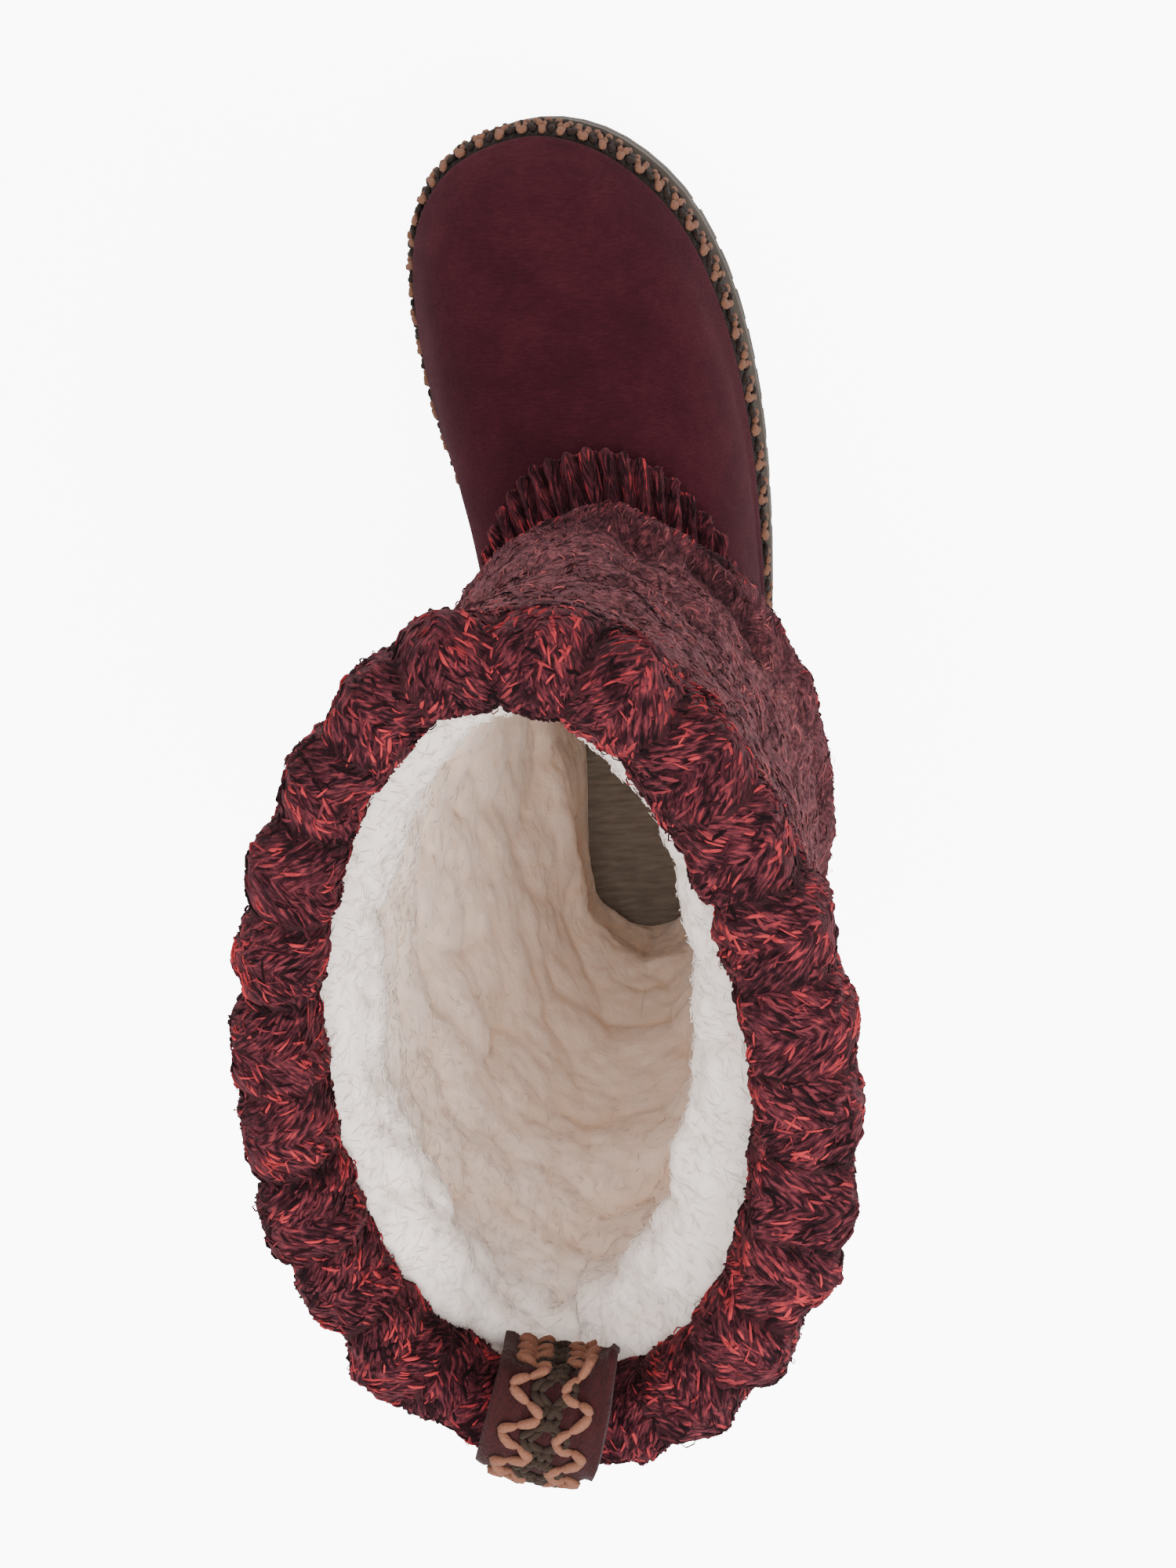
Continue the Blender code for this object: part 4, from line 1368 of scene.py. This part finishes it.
@dataclass
class Fleece:
    """Deep curly pile from the rim down to the insole."""

    columns: int = 400
    rows: int = 200
    wisps: int = 9000
    arch_bulge: float = 0.0070
    overhang: float = 0.0125

    def build(self, foot: FootForm) -> bpy.types.Object:
        """Makes the pile and its loose wisps.

        Args:
            foot: the foot's form.

        Returns:
            The pile, which stands for the CAD node.
        """
        n = self.columns
        backed = SUEDE + CLEARANCE
        deep_foot = backed + FLEECE_FOOT
        turned = FLEECE_SHAFT + KNIT
        turn = np.arange(n) / n
        roll = self.overhang * np.exp(-(((turn - 0.18) / 0.165) ** 2))
        bulge = self.arch_bulge * np.exp(-(((turn - 0.83) / 0.08) ** 2))
        rings = [
            shaft_ring(RIM, n, -FLEECE_SHAFT + 0.002, -RIM_TURN_IN + 0.006),
            shaft_ring(RIM, n, -turned - 0.001, -RIM_TURN_IN + 0.003),
            shaft_ring(RIM, n, -turned - 0.005 - 0.5 * roll, -RIM_TURN_IN - 0.002),
            shaft_ring(RIM, n, -turned - 0.006 - roll, -RIM_TURN_IN - 0.010),
            shaft_ring(RIM, n, -turned - 0.004 - 0.9 * roll, -RIM_TURN_IN - 0.020),
            shaft_ring(UPPER, n, -FLEECE_SHAFT - 0.002),
            shaft_ring(MIDDLE, n, -FLEECE_SHAFT),
            shaft_ring(CALF, n, -FLEECE_SHAFT - 0.5 * bulge),
            shaft_ring(CREASE, n, -FLEECE_SHAFT - bulge),
        ]
        rings += [foot.above_trim(share, -deep_foot - bulge) for share in (1.00, 0.50, 0.12)]
        bottom = INSOLE + 2 * CLEARANCE
        rings.append(seated(foot.ring(bottom, -(TRIM + deep_foot) - bulge), bottom))
        surface = Surface.through(rings, self.rows)
        share = surface.shares()
        flat = ease((share - 0.002) / 0.02) * ease((0.995 - share) / 0.02)
        big = lumps(surface.points, 0.019, 1)
        surface.push(flat * (0.0056 * (big - 0.5) + 0.0028 * soft_noise(surface.points, 0.034, 2)))
        low = ease((share - 0.06) / 0.12)
        small = lumps(surface.points, 0.0085, 4)
        surface.push(flat * (0.0014 + 0.0022 * (1 - low)) * (small - 0.5))
        surface.push(flat * 0.0004 * soft_noise(surface.points, 0.0026, 6))
        # Painted shade, kept as deep: darker between the big and the small lumps, and from a little below the rim
        # down to the insole
        deep = np.clip(0.35 * (0.75 - big) + 0.50 * (0.6 - small) + 0.60 * low, 0, 1)
        uv = np.zeros((self.rows, n + 1, 2))
        fur = CurlyPile("deep curly fleece", "#EEE1D8", "deep").material()
        fields = {"deep": closing(deep)}
        made = grid_piece("fleece_pile", closing(surface.points), uv, fields, True, fur)
        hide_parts("fleece_lining")
        self.lay_wisps(surface, deep)
        return made

    def lay_wisps(self, surface: Surface, deep: np.ndarray) -> None:
        """Lays short curled wisps on the pile's upper part.

        Args:
            surface: the pile's surface.
            deep: painted shade of each point of the pile, which the wisps take on.
        """
        chance = np.random.default_rng(7)
        count = self.wisps
        turn = chance.random(count)
        share = chance.beta(1.0, 3.0, count) * 0.6 + 0.012
        length = chance.uniform(0.0018, 0.0042, count)
        angle = chance.uniform(0, TAU, count)
        steps = np.array([0.0, 0.5, 1.0])
        points, ups = surface.lines(turn, share, length * np.cos(angle), length * np.sin(angle), steps, 0.0)
        rise = chance.uniform(0.0001, 0.0010, count)[:, None] * np.array([0.0, 0.8, 1.0]) - 0.0001
        points = points + ups * rise[..., None]
        radii = chance.uniform(0.00016, 0.00034, count)
        # Painted shade: each wisp takes the pile's painted shade where it lies
        painted_shade = nearest(deep, turn, share)
        fur = CurlyPile("fleece wisps", "#F0E4DC", "tint").material()
        strands("fleece_wisps", points, ups, radii, Shape.WISP, 3, painted_shade, fur)


@dataclass
class SuedeFoot:
    """Suede shell of the foot, with a soft roll along the ribbon."""

    columns: int = 300
    rows: int = 52

    def build(self, foot: FootForm) -> bpy.types.Object:
        """Makes the shell.

        Args:
            foot: the foot's form.

        Returns:
            The shell, which stands for the CAD node.
        """
        low = TRIM_HEIGHT + 2 * CLEARANCE
        rings = [foot.ring(low, -TRIM), foot.ring(low, -0.0004), foot.ring(low + SUEDE * 0.5, SUEDE_LIP * 0.8)]
        rings += [foot.ring(low + SUEDE * 1.6, SUEDE_LIP * 0.7)]
        rings += [foot.above_trim(share, 0.0) for share in (0.12, 0.20, 0.28, 0.39, 0.50, 0.62, 0.74, 0.86, 1.00)]
        surface = Surface.through(rings, self.rows)
        calm = ease((surface.shares() - 0.10) / 0.15)
        waves = 0.0005 * soft_noise(surface.points, 0.034, 3) + 0.00012 * soft_noise(surface.points, 0.006, 4)
        surface.push(calm * waves)
        uv = np.zeros((self.rows, self.columns + 1, 2))
        made = grid_piece("suede_shell", closing(surface.points), uv, {}, True, Suede().material())
        give_wall(made.data, SUEDE * 0.8)
        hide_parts("foot_upper")
        return made


@dataclass
class RibbonTrim:
    """Chunky woven ribbon round the foot, with a zigzag of chain stitches."""

    columns: int = 720
    rows: int = 18
    zigzag: float = 0.0086
    low: float = 0.0082
    high: float = 0.0178
    stitches: int = 3

    def build(self, foot: FootForm) -> bpy.types.Object:
        """Makes the ribbon and its stitches.

        Args:
            foot: the foot's form.

        Returns:
            The ribbon, which stands for the CAD node.
        """
        rings = [seated(foot.ring(0.0, 0.0), CLEARANCE)]
        for share in np.arange(1, 6) / 6:
            rings.append(foot.ring(TRIM_HEIGHT * share, TRIM * (0.10 + 0.25 * math.sin(math.pi * share))))
        rings += [foot.ring(TRIM_HEIGHT, -TRIM / 4), foot.ring(TRIM_HEIGHT, -TRIM)]
        surface = Surface.through(rings, self.rows)
        share = surface.shares() + 0 * surface.turns()
        deep = ease((0.20 - share) / 0.06)
        around = np.linspace(0, 1, self.columns + 1)[None, :] * surface.girths()[:, None]
        uv = np.stack([around, surface.lengths()[:, None] + 0 * around], axis=-1)
        knobs = 0.00035 * np.sin(TAU * np.arange(self.columns) / 4)[None, :] * ease((share - 0.1) / 0.1)
        surface.push(knobs)
        ground = WovenRibbon("olive brown woven ribbon", "#22150F", "#380F10").material()
        fields = {"deep": closing(deep)}
        made = grid_piece("ribbon_ground", closing(surface.points), uv, fields, True, ground)
        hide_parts("ribbon_trim")
        tan = PliedYarn("tan plied yarn", "#7A5340").material()
        olive = PliedYarn("olive plied yarn", "#21150E").material()
        lower = (self.low - 0.002, self.high - 0.001)
        self.zigzag_of(surface, "ribbon_tan_stitches", 0.0, (self.low, self.high), 0.00115, tan, 0.62)
        self.zigzag_of(surface, "ribbon_olive_stitches", 0.5, lower, 0.00095, olive, 0.9)
        return made

    def zigzag_of(
        self, surface: Surface, name: str, phase: float, span: tuple[float, float], thick: float,
        material: bpy.types.Material, breadth: float,
    ) -> None:
        """Lays one zigzag of chain stitches.

        Args:
            surface: the ribbon's surface.
            name: name of the piece.
            phase: shift along the ribbon in zigzags.
            span: lowest and highest place over the ribbon's lower edge.
            thick: radius of a stitch.
            material: the stitches' material.
            breadth: width of a tuft, as a share of the pitch.
        """
        tall = surface.lengths()[-1]
        count = round(float(surface.girths().mean()) / self.zigzag)
        leg = np.arange(2 * count * self.stitches)
        steps = np.linspace(0.04, 0.96, 6)
        place = (leg[:, None] + steps) / self.stitches
        wave = np.abs((place + 1) % 2 - 1)
        height = span[0] + (span[1] - span[0]) * wave
        peak = 2 * np.floor(place / 2) + 1
        turn = ((peak + (place - peak) * breadth) / 2 + phase) / count
        points, ups = surface.sample(turn, height / tall)
        lift = thick * (0.35 + 0.5 * np.sin(math.pi * steps))
        points = points + ups * lift[None, :, None]
        chance = np.random.default_rng(count)
        radii = thick * chance.uniform(0.85, 1.1, len(leg))
        strands(name, points, ups, radii, Shape.STITCH, 6, np.zeros(len(leg)), material)


@dataclass(frozen=True)
class Chain:
    """A zigzag chain on the strap: middle and swing in shares of its width, yarn, and radius in metres."""

    centre: float
    swing: float
    yarn: str
    thick: float


CHAINS = (
    Chain(-0.23, 0.135, "tan", 0.00120),
    Chain(0.22, 0.135, "tan", 0.00120),
    Chain(-0.09, 0.10, "olive", 0.0009),
    Chain(0.09, -0.10, "olive", 0.0009),
    Chain(-0.02, 0.10, "olive", 0.0008),
    Chain(0.02, -0.10, "olive", 0.0008),
)
CHAIN_COLOURS = {"tan": "#845642", "olive": "#2A1D12"}


@dataclass
class PullLoop:
    """Ribbon strap over the back of the rim, with two tan zigzags and olive diamonds between them."""

    rows: int = 72
    columns: int = 30
    period: float = 0.0102

    def path(self) -> Callable:
        """Middle line and width of the strap.

        Returns:
            Function of place along the strap and place across it, in shares, that gives points.
        """
        knots = np.arange(len(LOOP_STEPS), dtype=float)
        half = LOOP_RIBBON / 2 + 2 * CLEARANCE
        count = 720
        pressed = under_loop(shaft_ring(ROLL, count))
        inside = shaft_ring(ROLL, count, -FLEECE_SHAFT - KNIT - CLEARANCE - half)
        outside = shaft_ring(ROLL, count, RIM_KNIT + CLEARANCE + half - LOOP_DENT * pressed)

        def back_of(ring: np.ndarray, x: np.ndarray) -> np.ndarray:
            """How far back a ring lies.

            Args:
                ring: points of a ring.
                x: places across.

            Returns:
                The ring's y at each place, on its rear half.
            """
            behind = ring[ring[:, 1] < ring[:, 1].mean()]
            order = np.argsort(behind[:, 0])
            return np.interp(x, behind[order, 0], behind[order, 1])

        def at(along: np.ndarray, side: np.ndarray) -> np.ndarray:
            """Points of the strap.

            Args:
                along: shares of its length, from its inner end.
                side: shares of its width, from its middle.

            Returns:
                Points.
            """
            place = along * (len(LOOP_STEPS) - 1)
            across = smooth_curve(knots, LOOP_STEPS[:, 0], place)
            lift = smooth_curve(knots, LOOP_STEPS[:, 1], place)
            legs = np.where(across < 0.5, LOOP_INNER_LEG, LOOP_OUTER_LEG)
            z = BOOT_HEIGHT + np.where(lift > 0, LOOP_ARCH * lift, legs * lift)
            x = side * LOOP_WIDTH + LOOP_SHIFT - LOOP_SKEW * across
            y = back_of(inside, x) * (1 - across) + back_of(outside, x) * across
            return np.stack([x, y, z], axis=-1)

        return at

    def build(self) -> bpy.types.Object:
        """Makes the strap and its stitches.

        Returns:
            The strap, which stands for the CAD node.
        """
        at = self.path()
        dense = np.linspace(0, 1, 400)
        middle = at(dense, np.zeros(400))
        length = np.concatenate([[0], np.cumsum(np.linalg.norm(np.diff(middle, axis=0), axis=1))])
        even = np.interp(np.linspace(0, length[-1], self.rows), length, dense)
        side = np.linspace(-0.5, 0.5, self.columns)
        rows = even[:, None] + 0 * side
        columns = side + 0 * rows
        points = at(rows.ravel(), columns.ravel()).reshape(self.rows, self.columns, 3)
        along = np.gradient(points, axis=0)
        across = np.gradient(points, axis=1)
        normal = np.cross(across, along)
        normal /= np.linalg.norm(normal, axis=2, keepdims=True)
        outer = normal if normal[self.rows // 2, self.columns // 2, 2] > 0 else -normal
        ridge = 0.0003 * np.sin(columns * 40) + 0.0002 * soft_noise(points, 0.003, 3)
        face = points + outer * (LOOP_RIBBON * 0.35 + ridge)[..., None]
        uv = np.stack([columns * LOOP_WIDTH, np.linspace(0, length[-1], self.rows)[:, None] + 0 * columns], axis=-1)
        ground = WovenRibbon("dark red woven ribbon", "#3A1013", "#36100F").material()
        fields = {"deep": np.zeros_like(columns)}
        made = grid_piece("loop_strap", face, uv, fields, False, ground)
        facing = 1 if sum(side.normal.y for side in made.data.polygons) < 0 else -1
        give_wall(made.data, facing * LOOP_RIBBON * 0.9)
        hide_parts("pull_loop")
        for number, line in enumerate(CHAINS):
            self.chain(f"loop_{line.yarn}_chain_{number}", face, outer, length[-1], line)
        return made

    def chain(self, name: str, face: np.ndarray, outer: np.ndarray, length: float, line: Chain) -> None:
        """Lays one zigzag chain along the strap.

        Args:
            name: name of the piece.
            face: the strap's points.
            outer: directions off its face.
            length: length of the strap.
            line: where the chain runs and how thick it is.
        """
        count = int(length / self.period * 4)
        steps = np.linspace(-0.10, 1.10, 6)
        place = np.clip((np.arange(count)[:, None] + steps) / count, 0, 1)
        side = line.centre + line.swing * np.cos(TAU * (place * length / self.period)) + 0.5
        points, ups = between((face, outer), place * (face.shape[0] - 1.001), side * (face.shape[1] - 1.001))
        points = points + ups * (line.thick * (0.2 + 0.55 * np.sin(math.pi * steps)))[None, :, None]
        yarn = PliedYarn(f"{line.yarn} chain yarn {name[-1]}", CHAIN_COLOURS[line.yarn]).material()
        strands(name, points, ups, np.full(count, line.thick), Shape.STITCH, 6, np.zeros(count), yarn)


@dataclass(frozen=True)
class Lamp:
    """A square soft light: where it hangs, where it points, its side in metres and its power in watts."""

    name: str
    place: tuple
    target: tuple
    size: float
    power: float

    def hang(self) -> None:
        """Adds it to the scene."""
        data = bpy.data.lights.new(self.name, "AREA")
        data.size = self.size
        data.energy = self.power
        lamp = bpy.data.objects.new(self.name, data)
        lamp.location = self.place
        lamp.rotation_euler = (Vector(self.target) - Vector(self.place)).to_track_quat("-Z", "Y").to_euler()
        bpy.context.scene.collection.objects.link(lamp)


LAMPS = (
    Lamp("top", (0.15, 0.15, 1.6), (0, 0.05, 0), 1.6, 19.0),
    Lamp("left", (-1.3, 0.4, 1.0), (0, 0.05, 0.1), 1.0, 10.0),
    Lamp("front", (0.6, 1.3, 0.9), (0, 0.05, 0.1), 1.0, 6.0),
    Lamp("fill", (0.08, 0.22, 1.3), (0, 0.06, 0.1), 0.7, 3.0),
    Lamp("back", (0.5, -0.45, 1.3), (-0.03, 0.10, 0.16), 0.6, 17.0),
)


@dataclass
class Studio:
    """Camera at the photo's angle, a large soft light from above and a plain pale floor."""

    eye: tuple = (0.0704, 0.2562, 0.6831)
    target: tuple = (-0.012, 0.0405, 0.060)
    roll: float = -0.0986
    lens: float = 49.55
    sky: float = 1.15
    floor_glow: float = 8.0
    floor_half: float = 9.0

    def build(self) -> None:
        """Makes camera, lights, sky and floor."""
        self.aim_camera()
        for lamp in LAMPS:
            lamp.hang()
        self.lay_floor()

    def aim_camera(self) -> None:
        """Makes the camera at the photo's angle."""
        ahead = (Vector(self.target) - Vector(self.eye)).normalized()
        right = ahead.cross(Vector((0, 1, 0))).normalized()
        up = right.cross(ahead)
        turned = math.cos(self.roll) * right + math.sin(self.roll) * up
        raised = -math.sin(self.roll) * right + math.cos(self.roll) * up
        data = bpy.data.cameras.new("camera")
        data.lens = self.lens
        data.sensor_width = 36
        data.clip_start, data.clip_end = 0.01, 20
        camera = bpy.data.objects.new("camera", data)
        axes = Matrix((turned, raised, -ahead)).transposed().to_4x4()
        camera.matrix_world = Matrix.Translation(Vector(self.eye)) @ axes
        bpy.context.scene.collection.objects.link(camera)
        bpy.context.scene.camera = camera

    def lay_floor(self) -> None:
        """Makes the pale sky and a floor that glows for the camera alone, so that the ground is white."""
        world = bpy.data.worlds.new("pale room")
        world.use_nodes = True
        sky = world.node_tree.nodes["Background"]
        sky.inputs["Color"].default_value = srgb("#F6F4F5")
        sky.inputs["Strength"].default_value = self.sky
        bpy.context.scene.world = world
        mesh = bmesh.new()
        bmesh.ops.create_grid(mesh, x_segments=1, y_segments=1, size=self.floor_half)
        data = bpy.data.meshes.new("floor")
        mesh.to_mesh(data)
        mesh.free()
        floor = bpy.data.objects.new("floor", data)
        pale = Nodes("plain pale floor")
        seen = pale.add("LightPath", "Is Camera Ray", {}, {})
        glow = pale.add("Math", 0, TIMES, {0: seen, 1: self.floor_glow})
        lit = {"Emission Color": srgb("#FFFFFF"), "Emission Strength": glow}
        data.materials.append(pale.finish({"Base Color": srgb("#FAF7F8"), "Roughness": 0.9} | lit))
        bpy.context.scene.collection.objects.link(floor)
        floor.location.z = -CLEARANCE


def dress_solids() -> None:
    """Gives the solids that show as they are, the sole and the insole, their finishes."""
    for node, finish in (("outsole", FoamedRubber()), ("insole", SockCloth())):
        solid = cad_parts[node]
        solid.data.materials.clear()
        solid.data.materials.append(finish.material())


def main() -> None:
    """Builds the scene."""
    logging.basicConfig(level=logging.INFO, format="%(name)s %(message)s")
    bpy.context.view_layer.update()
    dress_solids()
    for part in (KnitShaft(), Fleece(), SuedeFoot(), RibbonTrim()):
        part.build(FootForm(part.columns))
    PullLoop().build()
    Studio().build()


if __name__ == "__main__":
    main()
